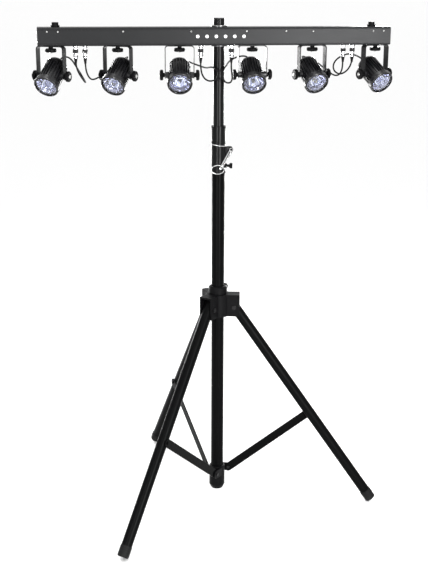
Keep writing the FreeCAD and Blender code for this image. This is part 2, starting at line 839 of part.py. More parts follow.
def mast_sleeve(bottom, height, stud_hole):
    """The sleeve through the bar that the mast turns in, with a flange above and below."""
    flange, sleeve = D["sleeve_flange"], D["sleeve_radius"]
    low = bottom - flange
    bore = D["mast_radius"] + D["slide_clearance"]
    socket = cut(
        fuse(
            cylinder(sleeve, height + 2 * flange, (0, 0, low)),
            cylinder(D["sleeve_flange_radius"], flange, (0, 0, low)),
            cylinder(D["sleeve_flange_radius"], flange, (0, 0, bottom + height)),
        ),
        cylinder(bore, height + 2 * flange, (0, 0, low)),
        cylinder(stud_hole, 2 * sleeve, (0, 0, bottom + height / 2), Y),
    )
    node(socket, "mast_sleeve")


def bar_clamp(height, depth):
    """The knob on the bar's back whose stud clamps the mast."""
    gap = D["clamp_knob_gap"]
    grip_start = depth / 2 + gap - D["mast_radius"]
    radius, grip = D["clamp_knob_radius"], D["clamp_knob_grip"]
    knob = fuse(
        cylinder(D["pan_pin_radius"], grip_start + gap, (0, 0, 0)),
        cylinder(radius / 2, gap, (0, 0, grip_start - gap / 2)),
        fluted(radius, grip, grip_start + gap / 3, 7, radius / 4),
    )
    node(knob, "bar_clamp_knob", (0, D["mast_radius"] + D["stud_gap"], height), along(Y))


def bar_fittings(bottom, height, depth):
    """Screws, hanging bosses and cord connectors on the bar."""
    radius, high = D["screw_radius"], D["screw_height"]
    screw_at = bottom + height - D["screw_drop"]
    screws = [
        cone(radius, radius * 0.7, high, (D["bar_offset"] + x, -(depth / 2), screw_at), -Y)
        for x in SCREW_PLACES
    ]
    node(group(*screws), "bar_screws")

    top = bottom + height

    def boss(x):
        grip = fuse(
            cylinder(D["hanger_radius"], D["hanger_height"], (x, 0, top)),
            cylinder(D["hanger_flange"], D["hanger_height"] * 0.4, (x, 0, top)),
        )
        return cut(grip, cylinder(D["hanger_bore"], D["hanger_height"], (x, 0, top)))

    places = [D["bar_offset"] + side * D["hanger_at"] for side in (-1, 1)]
    node(group(*[boss(x) for x in places]), "hanging_bosses")

    collar, long = D["socket_collar_height"], D["socket_length"]
    socket = D["socket_radius"]

    def connector(x):
        return fuse(
            cylinder(socket - D["socket_step"], D["socket_stem"], (x, 0, bottom)),
            cylinder(D["socket_collar_radius"], collar, (x, 0, bottom - collar)),
            cylinder(socket, long - collar, (x, 0, bottom - long)),
        )

    node(group(*[connector(x) for x in socket_places()]), "cord_connectors")


def control_board(bottom):
    """The driver board inside the bar, with the parts that stand on it."""
    start, wide, thick = D["board_start"], D["board_width"], D["board_thickness"]
    side, low = -(wide / 2), bottom + D["board_height"]
    top = low + thick
    blocks = [
        block(Size(long), Size(across), Size(high), (start + x, side + y, top))
        for x, y, long, across, high in BOARD_BLOCKS
    ]
    cans = [
        cylinder(CAPACITOR_RADIUS, CAPACITOR_HEIGHT, (start + x, side + y, top)) for x, y in BOARD_CAPACITORS
    ]
    board = block(D["board_length"], wide, thick, (start, side, low))
    node(fuse(board, *blocks, *cans), "control_board")


# ---------------------------------------------------------------- heads


def yoke():
    """A bent strap: a flat top under the bar and two arms with rounded ends. Origin at the tilt axis."""
    half, thick, wide = D["yoke_half_width"], D["yoke_thickness"], D["yoke_width"]
    top = D["tilt_drop"] - D["bar_gap"]
    body = doc.addObject("PartDesign::Body", "Strap")
    sketch = sketch_on(body, "XZ_Plane")
    draw_outline(
        sketch,
        [
            (-half, 0),
            (-half, top),
            (half, top),
            (half, 0),
            (half - thick, 0),
            (half - thick, top - thick),
            (-(half - thick), top - thick),
            (-(half - thick), 0),
        ],
    )
    pad = body.newObject("PartDesign::Pad", "Pad")
    pad.Profile = sketch
    pad.SideType = "Symmetric"
    bind(pad, "Length", wide)
    upper = float(top)

    def bend_edge(edge, reach, height):
        """Whether an edge across the strap lies on a corner at a reach and a height."""
        middle = edge.CenterOfMass
        on_corner = abs(abs(middle.x) - reach) < 0.1 and abs(middle.z - height) < 0.1
        return on_corner and edge.Length > float(wide) / 2

    reach, under = float(half - thick), upper - float(thick)
    inner = rounded(body, D["yoke_bend"] - thick, lambda edge: bend_edge(edge, reach, under))
    bent = rounded(inner, D["yoke_bend"], lambda edge: bend_edge(edge, float(half), upper))
    ends = [cylinder(wide / 2, thick, (x, 0, 0), X) for x in (-half, half - thick)]
    hole = D["tilt_pin_radius"] + D["pin_clearance"]
    return cut(
        fuse(bent, *ends),
        cylinder(hole, 2 * half, (-half, 0, 0), X),
        cylinder(D["pan_pin_radius"] + D["pin_clearance"], thick, (0, 0, top - thick)),
    )


def finned_housing():
    """The barrel between bezel and rear cap: a turned tube with a fin repeated round it."""
    core, bore, front, back = D["barrel_core"], D["barrel_bore"], D["barrel_front"], D["barrel_back"]
    body = turned([(bore, -back), (core, -back), (core, front), (bore, front)])
    sketch = sketch_on(body, "XY_Plane")
    half = D["fin_thickness"] / 2
    draw_outline(
        sketch,
        [(core - half, -half), (D["barrel_fin"], -half), (D["barrel_fin"], half), (core - half, half)],
    )
    fin = body.newObject("PartDesign::Pad", "Fin")
    fin.Profile = sketch
    bind(fin, "Length", front)
    bind(fin, "Length2", back)
    fin.SideType = "Two sides"
    fins = body.newObject("PartDesign::PolarPattern", "Fins")
    fins.Originals = [fin]
    fins.Axis = (sketch, ["N_Axis"])
    fins.Angle = 360
    bind(fins, "Occurrences", D["fin_count"])
    body.Tip = fins
    return body


def barrel():
    """The lamp body about its tilt axis, with its light looking along +Z."""
    front, nose, back, rear = D["barrel_front"], D["bezel_front"], D["barrel_back"], D["cap_back"]
    boss_end = D["yoke_half_width"] - D["yoke_thickness"] - D["face_gap"]
    boss_start = D["barrel_core"] - D["bezel_edge"]
    boss, deep = D["boss_radius"], D["boss_depth"] - D["knob_neck"]
    sides = ((1, X), (-1, -X))
    bosses = [cylinder(boss, boss_end - boss_start, (side * boss_start, 0, 0), out) for side, out in sides]
    stud = D["tilt_pin_radius"] + D["pin_clearance"]
    holes = [cylinder(stud, deep, (side * (boss_end - deep), 0, 0), out) for side, out in sides]
    housing = cut(fuse(finned_housing(), *bosses), *holes)
    rim, edge, lens = D["bezel_radius"], D["bezel_edge"], D["lens_radius"]
    seat, mouth = nose - D["lens_seat"], lens - D["bezel_lip"]
    bezel = turned(
        [
            (D["barrel_bore"], front),
            (D["barrel_fin"], front),
            (rim, front + D["bezel_slope"]),
            (rim, nose - edge),
            (rim - edge, nose),
            (mouth + edge / 3, nose),
            (mouth, nose - edge / 3),
            (mouth, seat),
            (lens, seat),
            (lens, seat - D["lens_thickness"]),
            (lens - edge, seat - D["lens_seat"] - D["lens_thickness"]),
        ]
    )
    fin, gland, nut = D["barrel_fin"], D["gland_radius"], D["gland_nut"]
    nut_end = -rear - D["gland_nut_height"]
    cap = turned(
        [
            (0, -back),
            (fin, -back),
            (fin - D["cap_rim"] / 5, -back - D["cap_rim"]),
            (fin - D["cap_rim"], -rear + nut),
            (fin - D["cap_face"], -rear),
            (gland + nut, -rear),
            (gland + nut, nut_end),
            (gland, nut_end),
            (D["cord_radius"] + 1.0, -D["gland_back"]),
            (0, -D["gland_back"]),
        ]
    )
    bore, led_back, led_face = D["barrel_bore"], D["led_back"], D["led_face"]
    emitter = D["led_radius"]
    led = turned(
        [(0, -led_back), (bore, -led_back), (bore, -led_face), (emitter, -led_face), (emitter, 0), (0, 0)]
    )
    long, wide, high = [Size(side) for side in DRIVER_BLOCK]
    driver = block(long, wide, high, (-(long / 2), -(wide / 2), -DRIVER_START))
    return group(housing, bezel, cap, led, driver)


def lens():
    """A thin cover lens with a slight crown, seated in the bezel."""
    seat = D["bezel_front"] - D["lens_seat"]
    thick, wide, crown = D["lens_thickness"], D["lens_radius"], D["lens_crown"]
    return turned(
        [
            (0, seat - thick),
            (wide, seat - thick),
            (wide, seat),
            (wide - 2 * D["bezel_lip"], seat),
            (wide * 0.55, seat + crown * 0.7),
            (0, seat + crown),
        ]
    )


def tilt_knobs():
    """A knob outside each arm of the yoke, with the stud that goes through the arm into the barrel."""
    start = D["yoke_half_width"] + D["face_gap"]
    boss_end = D["yoke_half_width"] - D["yoke_thickness"] - D["face_gap"]
    neck, radius = D["knob_neck"], D["tilt_knob_radius"]
    stud_start = boss_end - D["boss_depth"] + D["knob_neck"] + D["bezel_edge"]
    pair = []
    for out in (X, -X):
        grip = fluted(radius, D["tilt_knob_height"] - neck, start + neck, 8, radius / 5)
        collar = cylinder(D["knob_neck_radius"], neck * 1.25, (0, 0, start))
        stud = cylinder(D["tilt_pin_radius"], start - stud_start + neck / 4, (0, 0, stud_start))
        knob = fuse(grip, collar, stud)
        knob.Placement = FreeCAD.Placement(FreeCAD.Vector(), along(out))
        pair.append(knob)
    return group(*pair)


def pan_knob():
    """The knob under the yoke's top, with its stud up into the bar. Origin at the tilt axis."""
    top = D["tilt_drop"] - D["bar_gap"] - D["yoke_thickness"] - D["face_gap"]
    high, neck = D["pan_knob_height"], D["knob_neck"]
    grip = fluted(D["pan_knob_radius"], high - neck, top - high, 10, D["pan_knob_radius"] / 6)
    collar = cylinder(D["knob_neck_radius"], neck * 1.25, (0, 0, top - neck * 1.25))
    stud = cylinder(D["pan_pin_radius"], D["tilt_drop"] + D["pan_stud_reach"] - top, (0, 0, top - neck / 4))
    return fuse(grip, collar, stud)


def heads():
    for n, ((_, _, pan, tilt), x) in enumerate(zip(HEADS, head_places()), start=1):
        at = (x, 0, D["bar_bottom"] - D["tilt_drop"])
        panned = about(Z, pan)
        # The light looks along +Z of the barrel's own frame, which is laid down onto -Y and tilted.
        tilted = panned * about(X, tilt) * about(X, 90)
        knobs = panned * about(X, tilt)
        node(yoke(), f"yoke_{n}", at, panned)
        node(barrel(), f"barrel_{n}", at, tilted)
        node(lens(), f"lens_{n}", at, tilted)
        node(tilt_knobs(), f"tilt_knobs_{n}", at, knobs)
        node(pan_knob(), f"pan_knob_{n}", at, panned)


def gland_end(n):
    """(tip, direction) of the cord gland on the back of a head."""
    _, _, pan, tilt = HEADS[n]
    turn = about(Z, pan) * about(X, tilt) * about(X, 90)
    back = turn.multVec(-Z)
    at = FreeCAD.Vector(float(head_places()[n]), 0, float(D["bar_bottom"] - D["tilt_drop"]))
    return at + back * float(D["gland_back"]), back


# ---------------------------------------------------------------- cords


def cord_path(points):
    """Straight runs joined by arcs that touch them, as large as the runs allow. Returns path and radii."""
    edges, radii = [], []
    here = points[0]
    for before, corner, after in zip(points, points[1:], points[2:]):
        way_in, way_out = (corner - before).normalize(), (after - corner).normalize()
        turn = way_in.getAngle(way_out)
        reach = ARC_SHARE * min((corner - before).Length, (after - corner).Length)
        radii.append(reach / math.tan(turn / 2))
        start, end = corner - way_in * reach, corner + way_out * reach
        inward = (way_out - way_in).normalize()
        middle = corner + inward * (radii[-1] / math.cos(turn / 2) - radii[-1])
        edges.append(Part.LineSegment(here, start).toShape())
        edges.append(Part.Arc(start, middle, end).toShape())
        here = end
    edges.append(Part.LineSegment(here, points[-1]).toShape())
    return Part.Wire(edges), radii


def cords():
    """Each head's cord, from under its connector to the gland on the head's back."""
    radius = float(D["cord_radius"])
    tubes = []
    for n, route in enumerate(CORD_ROUTES):
        tip, back = gland_end(n)
        points = [FreeCAD.Vector(*point) for point in route] + [tip + back * CORD_STRAIGHT, tip]
        path, radii = cord_path(points)
        start = Part.Wire(Part.Circle(points[0], points[1] - points[0], radius).toShape())
        solid = path.makePipeShell([start], True, True)
        ideal = math.pi * radius**2 * path.Length
        print(
            f"cord {n + 1}: {path.Length:.1f} mm, radii {min(radii):.1f} to {max(radii):.1f} mm,",
            f"volume {solid.Volume:.0f} of {ideal:.0f}",
        )
        tubes.append(solid)
    thing = doc.addObject("Part::Feature", "Cords")
    thing.Shape = Part.makeCompound(tubes)
    node(thing, "head_cords")


def export():
    """Check every object, then write each sub-part to its file."""
    doc.recompute()
    failed = [o.Label for o in doc.Objects if {"Invalid", "Error"} & set(o.State)]
    failed += [part.Label for part in nodes if part.Shape.isNull() or not part.Shape.isValid()]
    if failed:
        raise RuntimeError(f"these objects failed: {failed}")
    os.makedirs("parts", exist_ok=True)
    for part in nodes:
        part.Shape.exportStep(f"parts/{part.Label}.step")
    print(len(nodes), "sub-parts written")


column()
mast_collar()
safety_pin()
column_knobs()
leg_hub()
legs()
braces()
lower_hub()
light_bar()
heads()
cords()
export()
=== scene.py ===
"""Six-head LED spot bar on a folding tripod stand: finishes, small parts, cords, light and camera."""

import json
import math

import bmesh
import bpy
from mathutils import Matrix, Vector
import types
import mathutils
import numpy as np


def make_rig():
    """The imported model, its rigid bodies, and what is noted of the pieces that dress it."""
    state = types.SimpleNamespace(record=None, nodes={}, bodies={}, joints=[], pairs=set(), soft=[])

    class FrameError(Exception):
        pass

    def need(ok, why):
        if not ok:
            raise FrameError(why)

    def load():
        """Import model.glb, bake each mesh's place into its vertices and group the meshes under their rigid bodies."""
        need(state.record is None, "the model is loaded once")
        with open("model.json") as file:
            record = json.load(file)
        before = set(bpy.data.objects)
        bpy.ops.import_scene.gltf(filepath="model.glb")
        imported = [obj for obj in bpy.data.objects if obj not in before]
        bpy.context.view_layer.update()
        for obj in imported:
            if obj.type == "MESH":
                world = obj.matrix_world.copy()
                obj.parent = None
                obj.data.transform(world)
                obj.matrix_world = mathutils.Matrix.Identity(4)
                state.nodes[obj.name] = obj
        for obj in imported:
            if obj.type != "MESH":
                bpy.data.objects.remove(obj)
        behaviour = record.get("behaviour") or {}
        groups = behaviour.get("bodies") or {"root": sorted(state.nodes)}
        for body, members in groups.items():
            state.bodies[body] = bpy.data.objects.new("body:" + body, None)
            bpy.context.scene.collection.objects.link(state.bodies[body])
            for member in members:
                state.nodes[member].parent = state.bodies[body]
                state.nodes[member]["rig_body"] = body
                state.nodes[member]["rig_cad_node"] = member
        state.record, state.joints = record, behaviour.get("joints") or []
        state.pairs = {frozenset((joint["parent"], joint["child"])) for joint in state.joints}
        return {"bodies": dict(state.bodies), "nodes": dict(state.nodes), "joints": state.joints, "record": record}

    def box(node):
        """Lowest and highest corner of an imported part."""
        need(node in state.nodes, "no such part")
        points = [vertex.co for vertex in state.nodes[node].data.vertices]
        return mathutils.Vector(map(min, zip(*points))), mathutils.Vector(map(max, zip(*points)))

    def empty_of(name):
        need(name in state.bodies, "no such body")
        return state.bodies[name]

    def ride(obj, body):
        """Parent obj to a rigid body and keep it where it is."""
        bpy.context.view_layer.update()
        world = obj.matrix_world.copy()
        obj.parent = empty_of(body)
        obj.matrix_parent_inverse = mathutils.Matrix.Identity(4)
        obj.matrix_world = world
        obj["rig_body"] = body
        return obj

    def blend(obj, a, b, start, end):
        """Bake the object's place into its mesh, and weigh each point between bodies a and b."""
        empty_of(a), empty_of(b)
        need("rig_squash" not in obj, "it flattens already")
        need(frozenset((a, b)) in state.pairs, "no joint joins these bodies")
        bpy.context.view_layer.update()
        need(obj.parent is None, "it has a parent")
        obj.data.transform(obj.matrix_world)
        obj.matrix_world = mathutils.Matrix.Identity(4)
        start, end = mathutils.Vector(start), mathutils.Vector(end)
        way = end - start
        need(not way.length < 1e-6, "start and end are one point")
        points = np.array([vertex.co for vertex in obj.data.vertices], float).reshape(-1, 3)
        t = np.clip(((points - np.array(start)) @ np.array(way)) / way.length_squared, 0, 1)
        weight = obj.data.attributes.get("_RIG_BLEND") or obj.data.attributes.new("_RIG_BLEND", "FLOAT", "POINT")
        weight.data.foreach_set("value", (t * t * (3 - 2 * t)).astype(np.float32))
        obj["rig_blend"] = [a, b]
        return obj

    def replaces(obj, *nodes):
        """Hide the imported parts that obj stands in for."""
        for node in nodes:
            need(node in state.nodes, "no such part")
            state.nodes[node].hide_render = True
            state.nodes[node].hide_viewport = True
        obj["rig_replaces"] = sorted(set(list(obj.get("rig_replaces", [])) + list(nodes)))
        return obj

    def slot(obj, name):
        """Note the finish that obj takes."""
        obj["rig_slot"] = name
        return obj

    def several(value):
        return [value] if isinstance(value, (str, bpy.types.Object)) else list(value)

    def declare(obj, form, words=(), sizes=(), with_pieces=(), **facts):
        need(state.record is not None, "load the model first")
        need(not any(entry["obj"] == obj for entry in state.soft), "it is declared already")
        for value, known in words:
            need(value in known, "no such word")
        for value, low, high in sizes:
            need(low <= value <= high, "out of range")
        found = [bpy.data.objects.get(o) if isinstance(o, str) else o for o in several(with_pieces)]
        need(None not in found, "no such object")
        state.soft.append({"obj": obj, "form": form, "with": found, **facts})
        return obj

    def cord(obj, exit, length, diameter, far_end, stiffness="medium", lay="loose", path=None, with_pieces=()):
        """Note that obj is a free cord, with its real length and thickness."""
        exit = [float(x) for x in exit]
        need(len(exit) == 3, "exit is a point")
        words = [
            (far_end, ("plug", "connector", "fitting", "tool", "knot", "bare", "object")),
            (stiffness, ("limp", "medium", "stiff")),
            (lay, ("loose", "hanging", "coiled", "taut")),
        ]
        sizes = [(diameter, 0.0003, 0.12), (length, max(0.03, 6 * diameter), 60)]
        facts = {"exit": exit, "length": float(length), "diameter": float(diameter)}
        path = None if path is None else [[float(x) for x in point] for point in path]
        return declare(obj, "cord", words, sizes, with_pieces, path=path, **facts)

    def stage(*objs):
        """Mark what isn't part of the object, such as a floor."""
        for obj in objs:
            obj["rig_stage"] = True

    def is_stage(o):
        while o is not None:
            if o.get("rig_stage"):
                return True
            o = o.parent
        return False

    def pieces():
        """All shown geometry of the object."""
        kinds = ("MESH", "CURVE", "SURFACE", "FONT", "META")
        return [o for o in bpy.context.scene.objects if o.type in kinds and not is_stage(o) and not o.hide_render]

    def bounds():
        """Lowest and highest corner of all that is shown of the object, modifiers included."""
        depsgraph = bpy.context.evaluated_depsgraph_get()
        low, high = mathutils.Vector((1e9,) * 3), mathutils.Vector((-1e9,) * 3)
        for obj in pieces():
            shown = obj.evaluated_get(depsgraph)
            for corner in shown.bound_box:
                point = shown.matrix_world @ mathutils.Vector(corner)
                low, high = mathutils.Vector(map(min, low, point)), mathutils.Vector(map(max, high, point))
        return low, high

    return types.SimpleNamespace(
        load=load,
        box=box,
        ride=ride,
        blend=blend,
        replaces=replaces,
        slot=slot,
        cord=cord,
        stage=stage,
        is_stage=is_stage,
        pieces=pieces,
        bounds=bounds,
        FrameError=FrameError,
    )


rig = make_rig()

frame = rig.load()
cad_low, cad_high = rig.bounds()
nodes = frame["nodes"]
joints = {joint["name"]: joint for joint in frame["joints"]}
scene = bpy.context.scene

HEADS = range(1, 7)
LEGS = range(1, 4)
# Nodes whose look differs from their slot's: the dark bolts, and the mast, which is glossier than the column.
FINISHES = {
    "leg_pivots": "black_steel",
    "brace_pivots": "black_steel",
    "upper_tube": "mast_paint",
    "mast_cap": "mast_paint",
    "mast_collar": "mast_paint",
}
MM = 0.001

# Where the camera stands, and which way its right and its top point.
CAMERA_PLACE = (-0.44638, -3.17763, 1.58986)
CAMERA_RIGHT = (0.99089, -0.13463, 0.00347)
CAMERA_UP = (0.03290, 0.26700, 0.96313)
LENS_MM, SENSOR_MM = 70.0, 36.0
FLOOR_REACH = 400.0
FLOOR_COLOUR = (0.77, 0.77, 0.77)


# ---------------------------------------------------------------- camera and light


def make_camera():
    """The photograph's viewpoint: a little left of the bar's middle and above it, looking down."""
    right, up = Vector(CAMERA_RIGHT), Vector(CAMERA_UP)
    back = right.cross(up).normalized()
    up = back.cross(right).normalized()
    data = bpy.data.cameras.new("camera")
    data.lens, data.sensor_width = LENS_MM, SENSOR_MM
    camera = bpy.data.objects.new("camera", data)
    scene.collection.objects.link(camera)
    turn = Matrix((right.normalized(), up, back)).transposed().to_4x4()
    camera.matrix_world = Matrix.Translation(CAMERA_PLACE) @ turn
    data.clip_end = 2000.0
    scene.camera = camera


def area_light(name, at, towards, width, height, power, colour=(1.0, 1.0, 1.0)):
    data = bpy.data.lights.new(name, "AREA")
    data.shape = "RECTANGLE"
    data.size, data.size_y = width, height
    data.energy, data.color = power, colour
    light = bpy.data.objects.new(name, data)
    scene.collection.objects.link(light)
    light.location = at
    light.rotation_euler = (Vector(towards) - Vector(at)).to_track_quat("-Z", "Y").to_euler()
    light.visible_camera = False


def light_scene():
    """A pale room, an even soft light from above, and tall soft boxes that streak the round tubes."""
    world = bpy.data.worlds.new("studio")
    scene.world = world
    world.use_nodes = True
    background = world.node_tree.nodes["Background"]
    background.inputs["Color"].default_value = (1.0, 1.0, 1.0, 1.0)
    background.inputs["Strength"].default_value = 0.98
    data = bpy.data.lights.new("overhead", "SUN")
    data.energy, data.angle = 1.3, math.radians(30.0)
    overhead = bpy.data.objects.new("overhead", data)
    scene.collection.objects.link(overhead)
    overhead.rotation_euler = (math.radians(10.0), math.radians(-8.0), 0.0)
    area_light("left_strip", (-1.7, -3.2, 1.3), (0.0, 0.0, 0.9), 0.2, 2.6, 75.0)
    area_light("right_strip", (1.15, -3.2, 1.3), (0.0, 0.0, 0.9), 0.26, 2.6, 95.0)
    area_light("bar_box", (1.0, -3.2, 1.1), (0.15, 0.0, 1.42), 1.1, 0.6, 26.0)
    area_light("back_left_strip", (1.5, 3.2, 1.3), (0.0, 0.0, 0.9), 0.3, 2.6, 95.0)
    area_light("back_right_strip", (-1.3, 3.2, 1.3), (0.0, 0.0, 0.9), 0.3, 2.6, 95.0)
    area_light("back_bar_box", (-0.9, 3.2, 1.1), (-0.15, 0.0, 1.42), 1.1, 0.6, 26.0)
    scene.view_settings.view_transform = "Standard"


# ---------------------------------------------------------------- materials


class Shader:
    """A node material being built round one Principled shader."""

    def __init__(self, name):
        self.material = bpy.data.materials.new(name)
        self.material.use_nodes = True
        self.tree = self.material.node_tree
        self.shader = self.tree.nodes["Principled BSDF"]
        self.place = self.tree.nodes.new("ShaderNodeTexCoord").outputs["Object"]

    def add(self, kind, **settings):
        made = self.tree.nodes.new(f"ShaderNode{kind}")
        for name, value in settings.items():
            if name.startswith("in_"):
                made.inputs[name[3:].replace("_", " ")].default_value = value
            else:
                setattr(made, name, value)
        return made

    def link(self, output, target):
        self.tree.links.new(output, target)

    def stretched(self, scale):
        mapping = self.add("Mapping", in_Scale=scale)
        self.link(self.place, mapping.inputs["Vector"])
        return mapping.outputs["Vector"]

    def noise(self, scale, detail=4.0, stretch=(1.0, 1.0, 1.0), rough=0.55):
        made = self.add("TexNoise", in_Scale=scale, in_Detail=detail, in_Roughness=rough)
        self.link(self.stretched(stretch), made.inputs["Vector"])
        return made.outputs["Fac"]

    def cells(self, scale, stretch=(1.0, 1.0, 1.0), feature="F1"):
        made = self.add("TexVoronoi", feature=feature, in_Scale=scale)
        self.link(self.stretched(stretch), made.inputs["Vector"])
        return made.outputs["Distance"]

    def ramp(self, value, stops):
        made = self.add("ValToRGB")
        band = made.color_ramp
        while len(band.elements) < len(stops):
            band.elements.new(0.5)
        for element, (at, colour) in zip(band.elements, stops):
            element.position = at
            element.color = (*colour, 1.0)
        self.link(value, made.inputs["Fac"])
        return made.outputs["Color"]

    def span(self, value, low, high, start=0.0, end=1.0):
        made = self.add("MapRange")
        for name, number in zip(("From Min", "From Max", "To Min", "To Max"), (start, end, low, high)):
            made.inputs[name].default_value = number
        self.link(value, made.inputs["Value"])
        return made.outputs["Result"]

    def math(self, operation, one, two):
        made = self.add("Math", operation=operation)
        for socket, value in zip(made.inputs, (one, two)):
            if isinstance(value, (int, float)):
                socket.default_value = value
            else:
                self.link(value, socket)
        return made.outputs["Value"]

    def set(self, **sockets):
        for name, value in sockets.items():
            socket = self.shader.inputs[name.replace("_", " ")]
            if isinstance(value, bpy.types.NodeSocket):
                self.link(value, socket)
            else:
                socket.default_value = value
        return self

    def bump(self, *layers):
        """Layers of (height, strength, distance in metres), each on top of the last."""
        normal = None
        for height, strength, distance in layers:
            made = self.add("Bump", in_Strength=strength, in_Distance=distance)
            self.link(height, made.inputs["Height"])
            if normal is not None:
                self.link(normal, made.inputs["Normal"])
            normal = made.outputs["Normal"]
        self.link(normal, self.shader.inputs["Normal"])
        return self.material


def shade(colour, factor):
    return tuple(min(1.0, part * factor) for part in colour)


def powder_coat(name, colour, rough, gloss=0.2, grain=0.00006, scale=900.0, dust=1.25):
    """Sprayed coat: orange-peel bump, faint cloudy dust and a few rubbed places."""
    s = Shader(name)
    clouds = s.noise(9.0, 6.0)
    fine = s.noise(scale, 2.0)
    scuffs = s.noise(60.0, 8.0, (1.0, 1.0, 0.15), 0.7)
    s.set(
        Base_Color=s.ramp(clouds, ((0.3, shade(colour, 0.82)), (0.62, colour), (0.8, shade(colour, dust)))),
        Roughness=s.math(
            "ADD", s.span(clouds, rough - 0.04, rough + 0.05), s.span(scuffs, -0.03, 0.05, 0.3, 0.7)
        ),
        Specular_IOR_Level=gloss,
    )
    return s.bump((fine, 0.35, grain), (s.noise(26.0, 3.0), 0.1, 0.0002))


def moulded(name, colour, rough, grain_scale=1400.0, depth=0.00008):
    """Moulded plastic with a spark-eroded grain."""
    s = Shader(name)
    clouds = s.noise(24.0, 4.0)
    s.set(
        Base_Color=s.ramp(clouds, ((0.35, shade(colour, 0.85)), (0.7, shade(colour, 1.3)))),
        Roughness=s.span(clouds, rough - 0.05, rough + 0.07),
        Specular_IOR_Level=0.05,
    )
    return s.bump((s.cells(grain_scale), 0.45, depth), (s.noise(45.0, 3.0), 0.12, 0.0002))


def plated(name, colour, rough, turned_lines=0.0):
    """Plated or polished steel. turned_lines is how many fine lathe lines a metre it has along Z."""
    s = Shader(name)
    clouds = s.noise(140.0, 5.0)
    s.set(
        Base_Color=s.ramp(clouds, ((0.3, shade(colour, 0.86)), (0.7, shade(colour, 1.06)))),
        Roughness=s.span(clouds, max(0.03, rough - 0.05), rough + 0.09),
        Metallic=1.0,
    )
    layers = [(s.noise(700.0, 2.0), 0.12, 0.00003)]
    if turned_lines:
        wave = s.add("TexWave", wave_type="BANDS", bands_direction="Z", in_Scale=turned_lines)
        wave.inputs["Distortion"].default_value = 0.4
        s.link(s.place, wave.inputs["Vector"])
        layers.append((wave.outputs["Fac"], 0.2, 0.00004))
    return s.bump(*layers)


def bar_paint():
    """Satin black on an aluminium profile: fine texture, drawn a little along the bar, with hairline rubs."""
    s = Shader("bar_paint")
    broad = s.noise(3.0, 3.0, (1.0, 0.3, 0.6))
    drawn = s.noise(420.0, 4.0, (0.05, 1.0, 1.0))
    rubs = s.cells(30.0, (0.6, 2.0, 8.0), "DISTANCE_TO_EDGE")
    colour = (0.008, 0.0083, 0.009)
    s.set(
        Base_Color=s.ramp(broad, ((0.3, shade(colour, 0.8)), (0.7, shade(colour, 1.4)))),
        Roughness=s.math("ADD", s.span(drawn, 0.33, 0.42), s.span(rubs, -0.05, 0.0, 0.0, 0.02)),
        Specular_IOR_Level=0.16,
    )
    return s.bump((s.noise(1300.0, 2.0), 0.3, 0.00005), (drawn, 0.08, 0.00005))


def barrel_finish():
    """Black anodised casting: tighter gloss in streaks along the fins, a faint cloudy tone and a fine grain."""
    s = Shader("barrel_black")
    clouds = s.noise(38.0, 5.0)
    streaks = s.noise(260.0, 3.0, (1.0, 0.15, 1.0))
    s.set(
        Base_Color=s.ramp(clouds, ((0.3, (0.004, 0.004, 0.0045)), (0.75, (0.011, 0.011, 0.0125)))),
        Roughness=s.span(streaks, 0.22, 0.36),
        Specular_IOR_Level=0.4,
        Coat_Weight=0.1,
        Coat_Roughness=0.2,
    )
    return s.bump((streaks, 0.12, 0.00008), (s.noise(1500.0, 2.0), 0.2, 0.00004))


MIX_A, MIX_B, MIX_RESULT = 6, 7, 2      # the Mix node's colour sockets
DUST = (0.016, 0.0155, 0.015, 1.0)


def rubber(name, colour, dust_height=None):
    """Matte rubber with fine pores, and dust near the floor if a height is given."""
    s = Shader(name)
    clouds = s.noise(90.0, 6.0)
    base = s.ramp(clouds, ((0.35, shade(colour, 0.8)), (0.7, shade(colour, 1.4))))
    if dust_height:
        apart = s.add("SeparateXYZ")
        s.link(s.place, apart.inputs["Vector"])
        level = s.math("ADD", apart.outputs["Z"], s.span(clouds, -0.006, 0.006))
        low = s.span(level, 0.6, 0.0, 0.0, dust_height)
        mix = s.add("Mix", data_type="RGBA")
        s.link(low, mix.inputs["Factor"])
        s.link(base, mix.inputs[MIX_A])
        mix.inputs[MIX_B].default_value = DUST
        base = mix.outputs[MIX_RESULT]
    s.set(Base_Color=base, Roughness=s.span(clouds, 0.5, 0.72), Specular_IOR_Level=0.14)
    return s.bump((s.cells(1100.0), 0.35, 0.0001), (s.noise(60.0, 4.0), 0.2, 0.0004))


def glass(name, tint, ripple):
    """Clear moulded lens with a faint coating colour and slight surface ripple."""
    s = Shader(name)
    clouds = s.noise(70.0, 3.0)
    s.set(
        Base_Color=s.ramp(clouds, ((0.3, tint), (0.75, (1.0, 1.0, 1.0)))),
        Roughness=s.span(clouds, 0.0, 0.05),
        Transmission_Weight=1.0,
        IOR=1.46,
    )
    return s.bump((clouds, 0.15, ripple))


def circuit_board():
    s = Shader("circuit_board")
    tracks = s.add("TexBrick", in_Scale=60.0, in_Mortar_Size=0.03, in_Color1=(0.02, 0.2, 0.08, 1.0))
    tracks.inputs["Color2"].default_value = (0.015, 0.14, 0.06, 1.0)
    tracks.inputs["Mortar"].default_value = (0.35, 0.3, 0.12, 1.0)
    s.link(s.place, tracks.inputs["Vector"])
    s.set(Base_Color=tracks.outputs["Color"], Roughness=s.span(s.noise(80.0), 0.25, 0.4))
    return s.bump((tracks.outputs["Fac"], 0.3, 0.0001))


def printed(name, colour):
    s = Shader(name)
    grain = s.noise(500.0, 4.0)
    s.set(
        Base_Color=s.ramp(grain, ((0.3, shade(colour, 0.85)), (0.7, colour))),
        Roughness=s.span(grain, 0.4, 0.55),
    )
    return s.bump((grain, 0.1, 0.00003))


